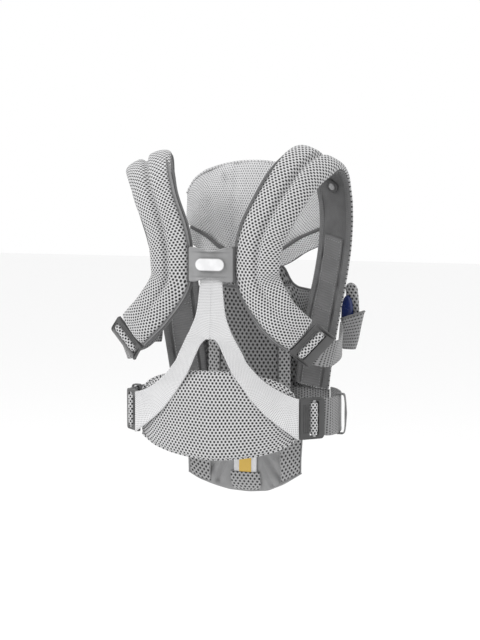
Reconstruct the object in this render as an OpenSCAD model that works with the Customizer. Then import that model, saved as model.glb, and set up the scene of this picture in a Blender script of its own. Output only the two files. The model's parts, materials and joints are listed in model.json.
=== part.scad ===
// Soft baby carrier, worn shape.
// +Z is up, the wearer faces +Y, +X is the wearer's right.
// The origin is on the axis of the wearer's torso, at the middle height of the waist belt.

/* [Shoulder straps] */
// Thickness of the padded strap
pad_t = 13; // [8:1:18]
// Thickness of the woven lining under the pad
lining_t = 1.6; // [1:0.2:2.4]
// Radius of the piping along each strap's inner edge
rail_r = 2.4; // [1.6:0.2:2.6]
// Half of the width of the webbing sewn on the front lining
front_web_half = 16; // [10:1:20]

/* [Back plate] */
// Width of the plate that joins the straps
plate_w = 64; // [56:1:64]
// Height of the plate at its four corners
plate_h = 47; // [40:1:54]
// Thickness of the plate
plate_t = 3.4; // [2.4:0.2:4]
// Width of the blank oval badge
badge_w = 40; // [30:1:44]
// Height of the blank oval badge
badge_h = 15.6; // [10:0.2:18]

/* [Waist] */
// Height of the belt webbing
belt_h = 52; // [44:1:54]
// Thickness of the belt webbing
belt_t = 2.4; // [1.6:0.2:3]
// Thickness of the lumbar pad at its middle
lumbar_t = 10; // [6:1:12]

/* [Buckles] */
// Length of each adjuster frame along its strap
frame_len = 39; // [36:1:42]
// Width of the waist adjuster frames
waist_frame_w = 60; // [56:1:64]
// Width of the shoulder adjuster frames
shoulder_frame_w = 56; // [52:1:60]
// Thickness of the adjuster frames
frame_t = 5; // [4:0.5:6]
// Radius of the bar inside each adjuster
bar_r = 3; // [2.5:0.25:3.25]
// Wall of the webbing that goes round the bar
loop_wall = 2; // [1.4:0.2:2.2]

/* [Front] */
// Thickness of the head support
head_t = 7; // [5:1:9]
// Thickness of the front panel
panel_t = 4; // [3:0.5:5]
// Inner radius of the snap sockets on the strap lining
snap_r = 5; // [4:0.5:6]
// Outer radius of the snap sockets
snap_outer_r = 10; // [8:0.5:11]

/* [Hidden] */

$fn = 48;
gap = 0.4;           // between layers that lie on each other
loop_clearance = 0.4;  // between a bar and the webbing round it
frame_gap = 1.6;     // between an adjuster frame and what lies at its ends
steps = 4;           // rings between two control rows of a spline

light_mesh = "gainsboro";
dark_mesh = "darkgray";
woven = "dimgray";
moulded = "gray";

// ---- Curves ----------------------------------------------------------------

// One value of a Catmull-Rom curve through b and c.
function curve(a, b, c, d, t) =
  ((2 * b) + (c - a) * t + (2 * a - 5 * b + 4 * c - d) * t * t
   + (3 * b - a - 3 * c + d) * t * t * t) / 2;

// Every row of numbers along a smooth curve through the given rows.
function spline(rows, n = steps) =
  let (last = len(rows) - 1)
  concat(
    [for (i = [0:last - 1]) for (k = [0:n - 1])
      curve(rows[max(i - 1, 0)], rows[i], rows[i + 1], rows[min(i + 2, last)], k / n)],
    [rows[last]]
  );

function unit(v) = v / norm(v);
function at(row) = [row[0], row[1], row[2]];
function across(row) = [row[3], row[4], row[5]];
function tangent(path, i) =
  unit(at(path[min(i + 1, len(path) - 1)]) - at(path[max(i - 1, 0)]));

// Axes of a strap at one row of its path: across the strap, and out of the body.
function side_axis(path, i) =
  let (t = tangent(path, i), a = across(path[i]))
  unit(a - t * (a * t));
function out_axis(path, i) = cross(side_axis(path, i), tangent(path, i));

// A point beside a path: u across the strap and v out of the body.
function beside(path, i, u, v) =
  at(path[i]) + side_axis(path, i) * u + out_axis(path, i) * v;

// A closed skin over rings that all have the same number of points. Layers that lie on each
// other take turns with crossed, so that their twisted faces are cut along the same diagonal.
module skin(rings, crossed = false) {
  m = len(rings[0]);
  last = len(rings) - 1;
  sides = [for (i = [0:last - 1]) for (j = [0:m - 1])
    let (k = (j + 1) % m, a = i * m + j, b = i * m + k, c = (i + 1) * m + k, d = (i + 1) * m + j)
    each (crossed ? [[a, b, d], [b, c, d]] : [[a, b, c], [a, c, d]])];
  start = [for (j = [m - 1:-1:0]) j];
  end = [for (j = [0:m - 1]) last * m + j];
  polyhedron(points = [for (ring = rings) each ring], faces = concat([start], sides, [end]));
}

// A flat band of thickness v1 - v0 that follows a path; rows hold half the width in row[6].
module band(path, v0, v1, shrink = 0, crossed = false) {
  skin([for (i = [0:len(path) - 1])
    let (h = path[i][6] - shrink)
    [for (p = [[-h, v0], [h, v0], [h, v1], [-h, v1]]) beside(path, i, p[0], p[1])]], crossed);
}

// A sheet built of columns along X, between two heights and two depths. A face that
// doesn't bend with height has one row.
module columns(xs, back_rows, front_rows, bottom, top, back, front) {
  height = function (x, k) bottom(x) + (top(x) - bottom(x)) * k;
  skin([for (x = xs) concat(
    [for (r = [0:back_rows]) let (k = r / back_rows, z = height(x, k)) [x, back(x, z, k), z]],
    [for (r = [front_rows:-1:0]) let (k = r / front_rows, z = height(x, k)) [x, front(x, z, k), z]]
  )]);
}

// The values from -w to w in 2 n equal steps.
function even(w, n) = [for (i = [-n:n]) w * i / n];

// Outline with two straight sides and two round ends.
module oval(long, wide) {
  square([long - wide, wide], center = true);
  for (s = [-1, 1]) translate([s * (long - wide) / 2, 0]) circle(d = wide);
}

module both(side) {
  if (side > 0) children();
  else mirror([1, 0, 0]) children();
}

// Puts children, drawn flat, in a plane with x along and y across.
module place(origin, along, across_dir) {
  n = cross(along, across_dir);
  translate(origin)
    rotate([atan2(across_dir[2], n[2]), asin(-along[2]), atan2(along[1], along[0])])
      children();
}

// ---- Places of the adjusters -----------------------------------------------

waist_spot = [132, -37, 3.5];
waist_along = unit([0.72, 0.69, 0]);
waist_inner = 22;  // from the bar to the frame's end at the lumbar pad
waist_across = [0, 0, 1];
shoulder_spot = [133, -55, 106];
shoulder_inner = 16;  // from the bar to the frame's end at the padded strap
shoulder_across = unit([0.665, 0.145, 0.73]);
shoulder_along =
  let (t = [0.60, 0.52, -0.62])
  unit(t - shoulder_across * (t * shoulder_across));
waist_out = cross(waist_along, waist_across);
shoulder_out = cross(shoulder_along, shoulder_across);
// Where the padded strap stops short of its adjuster.
strap_end = shoulder_spot - shoulder_along * (shoulder_inner + frame_gap + 2.4) - shoulder_out * 6;

// ---- Shoulder straps -------------------------------------------------------

// Rows: the lining side of the pad, the direction across the strap, and half its width.
STRAP = spline([
  concat(strap_end, shoulder_across, [26]),
  [103, -68, 134, 0.64, 0.15, 0.74, 27],
  [87, -70, 152, 0.76, 0.10, 0.62, 28],
  [66.5, -69, 186, 0.99, 0, 0.10, 30],
  [63.5, -71, 214, 0.98, -0.03, -0.16, 31],
  [70, -68, 254, 0.93, -0.02, -0.34, 31.5],
  [90, -52, 300, 0.90, 0.03, -0.42, 32],
  [107, -24, 335, 0.90, 0.05, -0.42, 34],
  [122, 10, 351, 0.91, -0.05, -0.40, 35],
  [132, 40, 335, 0.91, -0.32, -0.22, 34],
  [137, 58, 294, 0.88, -0.46, -0.05, 32],
  [133, 75, 240, 0.88, -0.47, 0, 31],
  [121, 87, 180, 0.90, -0.42, 0, 30],
  [104, 93, 110, 0.95, -0.30, 0, 28],
  [92, 94, 30, 0.97, -0.24, 0, 27]
]);
crest_row = 8 * steps;
snap_row = 9 * steps + 2;
front_web_row = 11 * steps;
pad_taper_row = 9 * steps;
front_pad_t = 5.5;

// The pad is full over the shoulder and thins out down the wearer's chest.
function pad_thickness(i) =
  i < pad_taper_row ? pad_t : pad_t - (pad_t - front_pad_t) * min(1, (i - pad_taper_row) / (2 * steps));

module shoulder_pad(side) {
  color(light_mesh) both(side) skin([for (i = [0:len(STRAP) - 1])
    let (h = STRAP[i][6], t = pad_thickness(i))
    [for (p = [[-h + 3, 0], [h - 3, 0], [h, 2.5], [h, t * 0.6], [h - 6, t * 0.92], [h / 2, t],
               [-h / 2, t], [-h + 6, t * 0.92], [-h, t * 0.6], [-h, 2.5]])
      beside(STRAP, i, p[0], p[1])]]);
}

module strap_lining(side) {
  color(woven) both(side) band(STRAP, -gap - lining_t, -gap, shrink = 1, crossed = true);
}

// Piping just outside the inner edge of the back half of the strap.
module rail(side) {
  color(moulded) both(side) skin([for (i = [0:crest_row])
    let (u = -STRAP[i][6] - rail_r - gap)
    [for (a = [0:45:315]) beside(STRAP, i, u + rail_r * cos(a), rail_r * sin(a))]]);
}

module front_webbing(side) {
  top = -2 * gap - lining_t;
  path = [for (i = [front_web_row:len(STRAP) - 1]) STRAP[i]];
  color(woven) both(side) skin([for (i = [0:len(path) - 1])
    [for (p = [[-front_web_half, top - 2], [front_web_half, top - 2],
               [front_web_half, top], [-front_web_half, top]])
      beside(path, i, p[0], p[1])]]);
}

// Snap socket on the lining, at the front of the shoulder, lifted clear of the lining's bend.
snap_lift = 0.8;
module snap(side) {
  n = out_axis(STRAP, snap_row);
  top = -2 * gap - lining_t - snap_lift;
  seat = beside(STRAP, snap_row, 0, top);
  color(woven) both(side) translate(seat)
    rotate([0, acos(-n[2]), atan2(-n[1], -n[0])])
      difference() {
        cylinder(r = snap_outer_r, h = 3);
        translate([0, 0, 1]) cylinder(r = snap_r, h = 3);
      }
}

// ---- Back plate ------------------------------------------------------------

plate_z = 213;
plate_y = -86.4;  // the face that carries the badge
backing_y = -69;
backing_t = 2;
screw_r = 2;

// Outline with hollow top and bottom edges, seen from behind.
module plate_outline(w, h) {
  hollow_r = 46;
  hollow_d = 5;
  difference() {
    square([w, h], center = true);
    for (s = [-1, 1])
      translate([0, s * (h / 2 - hollow_d + hollow_r)]) circle(r = hollow_r, $fn = 96);
  }
}

// Stands a flat outline up, from y back to y - t.
module stand(y, t) {
  translate([0, y, plate_z]) rotate([90, 0, 0]) linear_extrude(t) children();
}

screw_places = [for (x = [-15, 15]) for (z = [-12, 12]) [x, z]];

module back_plate() {
  color(moulded) stand(plate_y + plate_t, plate_t) plate_outline(plate_w, plate_h);
}

module plate_backing() {
  color(woven) stand(backing_y, backing_t) plate_outline(plate_w - 18, plate_h - 6);
}

// Posts that hold the two halves of the plate together, between the rails.
module plate_screws() {
  near = backing_y - backing_t;
  color("silver") for (p = screw_places)
    stand(near, near - plate_y - plate_t) translate(p) circle(r = screw_r);
}

module badge() {
  color("white") stand(plate_y, 1.2) oval(badge_w, badge_h);
}

// ---- Waist -----------------------------------------------------------------

// The wearer's waist is an ellipse seen from above.
waist_half_wide = 152;
waist_half_deep = 75;
function waist_y(x) = -waist_half_deep * sqrt(1 - pow(x / waist_half_wide, 2));
lumbar_half = 109;
function lumbar_top(x) =
  lookup(abs(x), [[0, 66], [34, 66], [60, 62], [84, 55], [98, 48], [109, 36]]);
function lumbar_bottom(x) =
  lookup(abs(x), [[0, -58], [34, -55], [64, -48], [90, -39], [109, -27]]);
lumbar_xs = even(lumbar_half, 14);
// Thickness of the pad's middle at x: it thins out towards the adjusters.
function lumbar_middle(x) = lumbar_t * (1 - 0.7 * pow(abs(x) / lumbar_half, 3));
// How far the pad's outer face stands out, at a share k of its height.
function lumbar_crown(x, k) =
  lumbar_middle(x) * (0.35 + 0.65 * sqrt(max(0, 1 - pow(2 * k - 1, 4))));

module lumbar_pad() {
  color(light_mesh) columns(lumbar_xs, 8, 1,
    function (x) lumbar_bottom(x), function (x) lumbar_top(x),
    function (x, z, k) waist_y(x) - lumbar_crown(x, k),
    function (x, z, k) waist_y(x));
}

// Sheets on the wearer's side of the pad: a stiffener, then the lining.
module lumbar_layer(w, inset, near, t) {
  columns(even(w, 12), 1, 1,
    function (x) lumbar_bottom(x) + inset, function (x) lumbar_top(x) - inset,
    function (x, z, k) waist_y(x) + near,
    function (x, z, k) waist_y(x) + near + t);
}

stiffener_t = 1.4;
module lumbar_stiffener() {
  color("black") lumbar_layer(w = 92, inset = 12, near = gap, t = stiffener_t);
}

module lumbar_lining() {
  color(woven) lumbar_layer(w = 105, inset = 3, near = 2 * gap + stiffener_t, t = 1.6);
}

tape_t = 1.8;
tape_lift = 2.6;  // keeps the straight runs of the tape clear of the rounded pad

// Depth of the ribbed tape where it lies over the lumbar pad.
function tape_y(x) = waist_y(x) - lumbar_middle(x) - tape_lift;

// One arm of the tape. Rows: a point on the upper edge, then a point on the lower edge.
Y_ARM = spline([
  [14, -79, 198, -1, -79, 198],
  [19, -83, 150, -1, -83, 150],
  [33, -86, 114, -1, -86, 112],
  [52, tape_y(52), 78, 19, -88, 94],
  [74, tape_y(74), 54, 38, tape_y(38), 58],
  [100, tape_y(100), 37, 74, tape_y(74), 12],
  [118, -60, 32, 118, -60, -24]
]);

module y_strap_half() {
  half_t = [0, tape_t / 2, 0];
  skin([for (row = Y_ARM)
    let (upper = at(row), lower = across(row))
    [lower - half_t, upper - half_t, upper + half_t, lower + half_t]]);
}

module y_strap() {
  color("whitesmoke") union() {
    y_strap_half();
    mirror([1, 0, 0]) y_strap_half();
  }
}

// ---- Adjusters -------------------------------------------------------------

loop_r = bar_r + loop_clearance + loop_wall;
window_half = loop_r + 1.4;

// A flat moulded frame with a window, its bar along Y at the origin and its plain end inner
// away from the bar.
module adjuster_frame(w, inner) {
  corner = 5;
  outer = frame_len - inner;
  translate([0, 0, -frame_t / 2]) linear_extrude(frame_t) difference() {
    union() {
      translate([-inner, -w / 2]) square([frame_len - corner, w]);
      translate([-inner, -w / 2 + corner]) square([frame_len, w - 2 * corner]);
      for (s = [-1, 1])
        translate([outer - corner, s * (w / 2 - corner)]) circle(r = corner);
    }
    square([2 * window_half, w - 10], center = true);
  }
}

module adjuster_bar(w) {
  rotate([90, 0, 0]) cylinder(r = bar_r, h = w - 10, center = true);
}

// The end of a strap: a sleeve round the bar and the tail that leaves under the frame.
module bar_loop(w) {
  rotate([90, 0, 0]) difference() {
    cylinder(r = loop_r, h = w - 14, center = true);
    cylinder(r = bar_r + loop_clearance, h = w, center = true);
  }
}

module at_waist(side) {
  both(side) place(waist_spot, waist_along, waist_across) children();
}

module at_shoulder(side) {
  both(side) place(shoulder_spot, shoulder_along, shoulder_across) children();
}

module waist_frame(side) { color(woven) at_waist(side) adjuster_frame(waist_frame_w, waist_inner); }
module waist_bar(side) { color(moulded) at_waist(side) adjuster_bar(waist_frame_w); }
module shoulder_frame(side) {
  color(woven) at_shoulder(side) adjuster_frame(shoulder_frame_w, shoulder_inner);
}
module shoulder_bar(side) { color(moulded) at_shoulder(side) adjuster_bar(shoulder_frame_w); }

// A strip that goes from the sleeve to the far end of the frame, below it.
module tail(w, inner) {
  far = frame_len - inner + frame_gap;
  difference() {
    translate([0, -w / 2, -loop_r]) cube([far, w, loop_wall]);
    rotate([90, 0, 0]) cylinder(r = bar_r + loop_clearance, h = w + 2, center = true);
  }
}

// Where the strip comes out from under a frame.
function tail_end(spot, along, out, inner) =
  spot + along * (frame_len - inner + frame_gap) + out * (-loop_r + loop_wall / 2);

waist_tail = tail_end(waist_spot, waist_along, waist_out, waist_inner);
belt_half = belt_h / 2;

// The belt and the shoulder webbing lie closer to the wearer on the left.
function slack(side) = [side > 0 ? 0 : -9, 0, 0, 0, 0, 0, 0];

// Belt webbing from the adjuster round the wearer's side.
function belt(side) = spline([
  concat(waist_tail - waist_along, [0, 0, 1, belt_half]),
  [149, -10, 3, 0, 0, 1, belt_half] + slack(side) / 3,
  [153, 18, 3, 0, 0, 1, belt_half] + slack(side),
  [147, 48, 3, 0, 0, 1, belt_half] + slack(side),
  [133, 77, 3, 0, 0, 1, belt_half] + slack(side) / 3,
  [122, 89, 3, 0, 0, 1, belt_half]
]);

module waist_webbing(side) {
  color(dark_mesh) union() {
    at_waist(side) {
      bar_loop(waist_frame_w);
      tail(belt_h - 8, waist_inner);
    }
    both(side) band(belt(side), -belt_t / 2, belt_t / 2);
  }
}

// Elastic ring that holds the spare webbing, with room outside the belt.
keeper_spot = [153, 17, 3];
keeper_turn = 92;
keeper_len = 9;
module keeper(side) {
  inner = [13, belt_h + 3];
  wall = 1.8;
  outward = 3.4;
  color(moulded) both(side) translate(keeper_spot + at(slack(side))) rotate([0, 0, keeper_turn])
    translate([0, -outward, 0]) rotate([0, 90, 0]) linear_extrude(keeper_len, center = true) difference() {
      square([inner[1] + 2 * wall, inner[0] + 2 * wall], center = true);
      square([inner[1], inner[0]], center = true);
    }
}

// Belt across the wearer's front, between the ends of the side webbing.
FRONT_BELT = spline([
  [-119, 92, 3, 0, 0, 1, 22],
  [-80, 102, 3, 0, 0, 1, 22],
  [0, 104, 3, 0, 0, 1, 22],
  [80, 102, 3, 0, 0, 1, 22],
  [119, 92, 3, 0, 0, 1, 22]
]);
module front_belt() {
  color(dark_mesh) band(FRONT_BELT, -1.2, 1.2);
}

shoulder_web_half = 21;
shoulder_web_t = 1.8;
shoulder_tail = tail_end(shoulder_spot, shoulder_along, shoulder_out, shoulder_inner);

// Webbing from the shoulder adjuster round the wearer's side to the front strap.
function shoulder_web(side) = spline([
  concat(shoulder_tail - shoulder_along, shoulder_across, [shoulder_web_half]),
  concat(shoulder_tail + shoulder_along * 5, shoulder_across, [shoulder_web_half]),
  [155, -18, 88, 0.35, 0.05, 0.93, shoulder_web_half] + slack(side) / 3,
  [157, 10, 92, 0.12, -0.02, 0.99, 20] + slack(side),
  [150, 42, 100, 0.05, -0.02, 1, 19] + slack(side),
  [140, 68, 108, 0.05, 0, 1, 18] + slack(side) / 3
]);
module shoulder_webbing(side) {
  color(dark_mesh) union() {
    at_shoulder(side) {
      bar_loop(shoulder_frame_w);
      tail(2 * shoulder_web_half + 2, shoulder_inner);
    }
    both(side) band(shoulder_web(side), -shoulder_web_t / 2, shoulder_web_t / 2);
  }
}

// ---- Front -----------------------------------------------------------------

// Mesh panel on the wearer's side of the child, between the front straps.
module inner_panel() {
  color(dark_mesh) columns(even(62, 8), 1, 1,
    function (x) -18,
    function (x) 168 + 0.0012 * x * x,
    function (x, z, k) 84 + 0.0012 * x * x,
    function (x, z, k) 86.4 + 0.0012 * x * x);
}

// Depth of the front panel down its middle.
function panel_y(z) =
  lookup(z, [[-122, 86], [-100, 96], [-60, 108], [0, 120], [60, 126], [110, 122], [160, 117],
             [200, 106]]);
module front_panel() {
  color(light_mesh) columns(
    [-116, -100, -84, -72, -64, -59, -54, -40, -20, 0, 20, 40, 54, 59, 64, 72, 84, 100, 116], 10, 10,
    function (x) lookup(abs(x), [[0, -120], [20, -119], [40, -112], [54, -100], [64, -84],
                                 [72, -60], [84, 0], [100, 60], [116, 100]]),
    function (x) lookup(abs(x), [[0, 190], [40, 197], [54, 200], [59, 184], [64, 172],
                                 [84, 166], [116, 160]]),
    function (x, z, k) panel_y(z) - 0.0009 * x * x,
    function (x, z, k) panel_y(z) - 0.0009 * x * x + panel_t);
}

// Depth of the head support and of the band below it.
function head_y(x, z) = 94 + 0.0016 * x * x + (z - 210) * 0.14;

// Band between the head support and the arm openings.
module neck_band() {
  centre = [[-102, 241], [-76, 229], [-50, 212], [-20, 203], [0, 201],
            [20, 203], [50, 212], [76, 229], [102, 241]];
  path = spline([for (p = centre)
    let (y = head_y(p[0], p[1]) + 1)
    [p[0], y, p[1], 0, 0, 1, 10]]);
  color(light_mesh) band(path, -1.6, 1.6);
}

// Height of the seam where the head support folds.
function seam_z(x) = lookup(abs(x), [[0, 215], [20, 217], [50, 227], [76, 244], [104, 256]]);
module head_support() {
  color(light_mesh) columns(
    [-104, -98, -88, -74, -56, -36, -18, 0, 18, 36, 56, 74, 88, 98, 104], 8, 8,
    function (x) seam_z(x),
    function (x) lookup(abs(x), [[0, 345], [24, 344], [54, 337], [78, 329], [94, 316], [104, 298]]),
    function (x, z, k) head_y(x, z) - head_t / 2 * sqrt(max(0.1, 1 - pow(2 * k - 1, 4))),
    function (x, z, k) head_y(x, z) + head_t / 2 * sqrt(max(0.1, 1 - pow(2 * k - 1, 4))));
}

// Seat between the child's legs, below the belt. It hangs lower on the left.
function seat_y(x, z) =
  72 + (z < -90 ? 0.0085 : 0.0035) * pow(z + 90, 2) - 0.0006 * x * x;
module seat_panel() {
  color(woven) columns(even(83, 7), 6, 6,
    function (x) lookup(x, [[-83, -96], [-69, -105], [-49, -114], [-28, -120], [0, -122],
                            [30, -118], [56, -106], [83, -88]]),
    function (x) -26,
    function (x, z, k) seat_y(x, z),
    function (x, z, k) seat_y(x, z) + 2.5);
}

// Flat strips on the wearer's face of the seat that slide together, bent to its profile.
module seat_patch(w, z0, z1, near, t) {
  rows = 6;
  z = [for (k = [0:rows]) z0 + (z1 - z0) * k / rows];
  outline = concat(
    [for (k = [0:rows]) [seat_y(0, z[k]) - near - t, z[k]]],
    [for (k = [rows:-1:0]) [seat_y(0, z[k]) - near, z[k]]]);
  rotate([90, 0, 90]) linear_extrude(w, center = true) polygon(outline);
}

label_near = 1.8;  // leaves room for the strap to slide down the curved seat
module size_label() { color("white") seat_patch(34, -93.5, -60, label_near, 0.8); }
module size_scale() { color("goldenrod") seat_patch(18, -93.5, -62, label_near + 1, 0.5); }
module size_tab() { color(dark_mesh) seat_patch(44, -121, -94, label_near, 3); }

// ---- Side buckles ----------------------------------------------------------

pocket_spot = [152, 94, 90];
pocket_h = 42;
pocket_turn = -15;
pocket_long = 34;
pocket_wide = 21;
pocket_wall = 2.5;
tongue_spot = [145.5, 96, 102];

// Upright sleeve that takes the tongue from above.
module side_pocket(side) {
  color(dark_mesh) both(side) translate(pocket_spot) rotate([0, 0, pocket_turn])
    linear_extrude(pocket_h) difference() {
      oval(pocket_long, pocket_wide);
      oval(pocket_long - 2 * pocket_wall, pocket_wide - 2 * pocket_wall);
    }
}

module side_tongue(side) {
  color("darkblue") both(side) translate(tongue_spot) rotate([0, 0, pocket_turn])
    linear_extrude(58) oval(13, 8);
}

// Fabric tab at the top of the tongue.
module side_tab(side) {
  color(dark_mesh) both(side) translate(tongue_spot + [3, 0, 58]) rotate([0, 0, pocket_turn])
    linear_extrude(18) oval(20, 11);
}

// ---- Assembly --------------------------------------------------------------

shoulder_pad(-1);  // left_shoulder_pad
shoulder_pad(1);  // right_shoulder_pad
strap_lining(-1);  // left_strap_lining
strap_lining(1);  // right_strap_lining
rail(-1);  // left_rail
rail(1);  // right_rail
front_webbing(-1);  // left_front_webbing
front_webbing(1);  // right_front_webbing
back_plate();
plate_backing();
plate_screws();
badge();
y_strap();
lumbar_pad();
lumbar_stiffener();
lumbar_lining();
waist_frame(-1);  // left_waist_frame
waist_frame(1);  // right_waist_frame
waist_bar(-1);  // left_waist_bar
waist_bar(1);  // right_waist_bar
waist_webbing(-1);  // left_waist_webbing
waist_webbing(1);  // right_waist_webbing
keeper(-1);  // left_keeper
keeper(1);  // right_keeper
front_belt();
shoulder_frame(-1);  // left_shoulder_frame
shoulder_frame(1);  // right_shoulder_frame
shoulder_bar(-1);  // left_shoulder_bar
shoulder_bar(1);  // right_shoulder_bar
shoulder_webbing(-1);  // left_shoulder_webbing
shoulder_webbing(1);  // right_shoulder_webbing
inner_panel();
front_panel();
neck_band();
head_support();
seat_panel();
size_label();
size_scale();
size_tab();
side_pocket(-1);  // left_side_pocket
side_pocket(1);  // right_side_pocket
side_tongue(-1);  // left_side_tongue
side_tongue(1);  // right_side_tongue
side_tab(-1);  // left_side_tab
side_tab(1);  // right_side_tab
snap(-1);  // left_snap
snap(1);  // right_snap
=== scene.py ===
import json
import math

import bmesh
import bpy
import numpy as np
from mathutils import Matrix, Vector, noise
from mathutils.bvhtree import BVHTree


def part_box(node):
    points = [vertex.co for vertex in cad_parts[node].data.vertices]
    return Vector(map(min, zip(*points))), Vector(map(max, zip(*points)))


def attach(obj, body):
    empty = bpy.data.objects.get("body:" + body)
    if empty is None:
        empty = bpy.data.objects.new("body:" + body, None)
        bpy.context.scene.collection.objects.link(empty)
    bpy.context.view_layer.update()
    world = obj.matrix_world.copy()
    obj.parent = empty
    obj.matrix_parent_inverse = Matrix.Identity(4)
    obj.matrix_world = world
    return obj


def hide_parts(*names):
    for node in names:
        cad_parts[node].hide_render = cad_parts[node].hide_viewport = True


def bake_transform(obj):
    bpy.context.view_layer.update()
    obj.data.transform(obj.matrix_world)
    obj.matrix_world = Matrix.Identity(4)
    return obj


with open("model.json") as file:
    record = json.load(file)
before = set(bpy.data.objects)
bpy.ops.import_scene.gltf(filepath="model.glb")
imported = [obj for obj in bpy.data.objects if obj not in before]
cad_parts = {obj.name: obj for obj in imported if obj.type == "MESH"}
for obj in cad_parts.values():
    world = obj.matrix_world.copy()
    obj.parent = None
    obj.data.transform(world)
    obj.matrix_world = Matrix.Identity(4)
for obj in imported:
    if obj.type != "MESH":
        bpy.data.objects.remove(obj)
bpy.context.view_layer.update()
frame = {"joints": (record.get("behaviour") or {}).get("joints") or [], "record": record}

# Lengths in this script are millimetres, as in the CAD, and are turned to metres in new_mesh().
MM = 0.001
SIDES = {"right": 1, "left": -1}
FORWARD = np.array([0.0, 1.0, 0.0])  # away from the wearer's back, towards the chest


def cad_centre(node):
    """Middle of a CAD node's box, in millimetres."""
    low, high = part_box(node)
    return np.array((low + high) / 2) / MM


def cad_box(node):
    """Lowest and highest corner of a CAD node's box, in millimetres."""
    return [np.array(corner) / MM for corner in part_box(node)]


def on_right(node, side):
    """Middle of a left or right CAD node, mirrored to the right side."""
    return cad_centre(node) * np.array([side, 1, 1])


def ramp(value, start, end):
    """0 at start and 1 at end, straight between them and flat outside."""
    return np.clip((value - start) / (end - start), 0, 1)


# ---- Camera -----------------------------------------------------------------

VIEW_AZIMUTH = math.radians(18)
VIEW_ELEVATION = math.radians(6)
VIEW_DISTANCE = 2.6
VIEW_HEIGHT = 0.896  # metres that the picture's height covers at the object
SENSOR = 36.0


def add_camera():
    back = Vector((math.sin(VIEW_AZIMUTH) * math.cos(VIEW_ELEVATION),
                   -math.cos(VIEW_AZIMUTH) * math.cos(VIEW_ELEVATION),
                   math.sin(VIEW_ELEVATION)))
    right = Vector((math.cos(VIEW_AZIMUTH), math.sin(VIEW_AZIMUTH), 0))
    up = back.cross(right)
    target = right * 0.014 + up * 0.129
    data = bpy.data.cameras.new("camera")
    data.sensor_width = SENSOR
    data.lens = SENSOR * VIEW_DISTANCE / VIEW_HEIGHT
    data.clip_end = 50
    camera = bpy.data.objects.new("camera", data)
    bpy.context.collection.objects.link(camera)
    camera.location = target + back * VIEW_DISTANCE
    camera.rotation_mode = "QUATERNION"
    camera.rotation_quaternion = Matrix((right, up, back)).transposed().to_quaternion()
    bpy.context.scene.camera = camera


add_camera()


def add_light(name, place, size, power):
    data = bpy.data.lights.new(name, "AREA")
    data.shape = "DISK"
    data.size = size
    data.energy = power
    light = bpy.data.objects.new(name, data)
    bpy.context.collection.objects.link(light)
    light.location = place
    aim = Vector((0, 0, 0.12)) - Vector(place)
    light.rotation_mode = "QUATERNION"
    light.rotation_quaternion = aim.to_track_quat("-Z", "Y")


def add_stage():
    world = bpy.data.worlds.new("studio")
    bpy.context.scene.world = world
    world.use_nodes = True
    background = world.node_tree.nodes["Background"]
    background.inputs["Color"].default_value = (1, 1, 1, 1)
    background.inputs["Strength"].default_value = 1.0
    bpy.context.scene.view_settings.view_transform = "Standard"
    bpy.ops.mesh.primitive_plane_add(size=14, location=(0, 2.5, -0.5))
    floor = bpy.context.object
    floor.name = "floor"
    Shade("floor_paint").finish(Base_Color=(0.93, 0.93, 0.93), Roughness=0.9)
    floor.data.materials.append(MATERIALS["floor_paint"])
    add_light("key", (-1.5, -1.7, 1.9), 1.1, 34)
    add_light("fill", (2.2, -1.2, 0.8), 1.8, 3)
    add_light("top", (0.2, 0.6, 2.2), 1.5, 6)


# ---- Materials --------------------------------------------------------------

FAR_ROWS = 4000.0  # whole rows that are added, so that fractions are of positive numbers
LATTICE_WOBBLE = 0.5  # millimetres that a knit's holes stray
MATERIALS = {}  # every finished material by name
PAINT = 0.86  # share of its level that every grey keeps, as the lamps are strong


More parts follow.
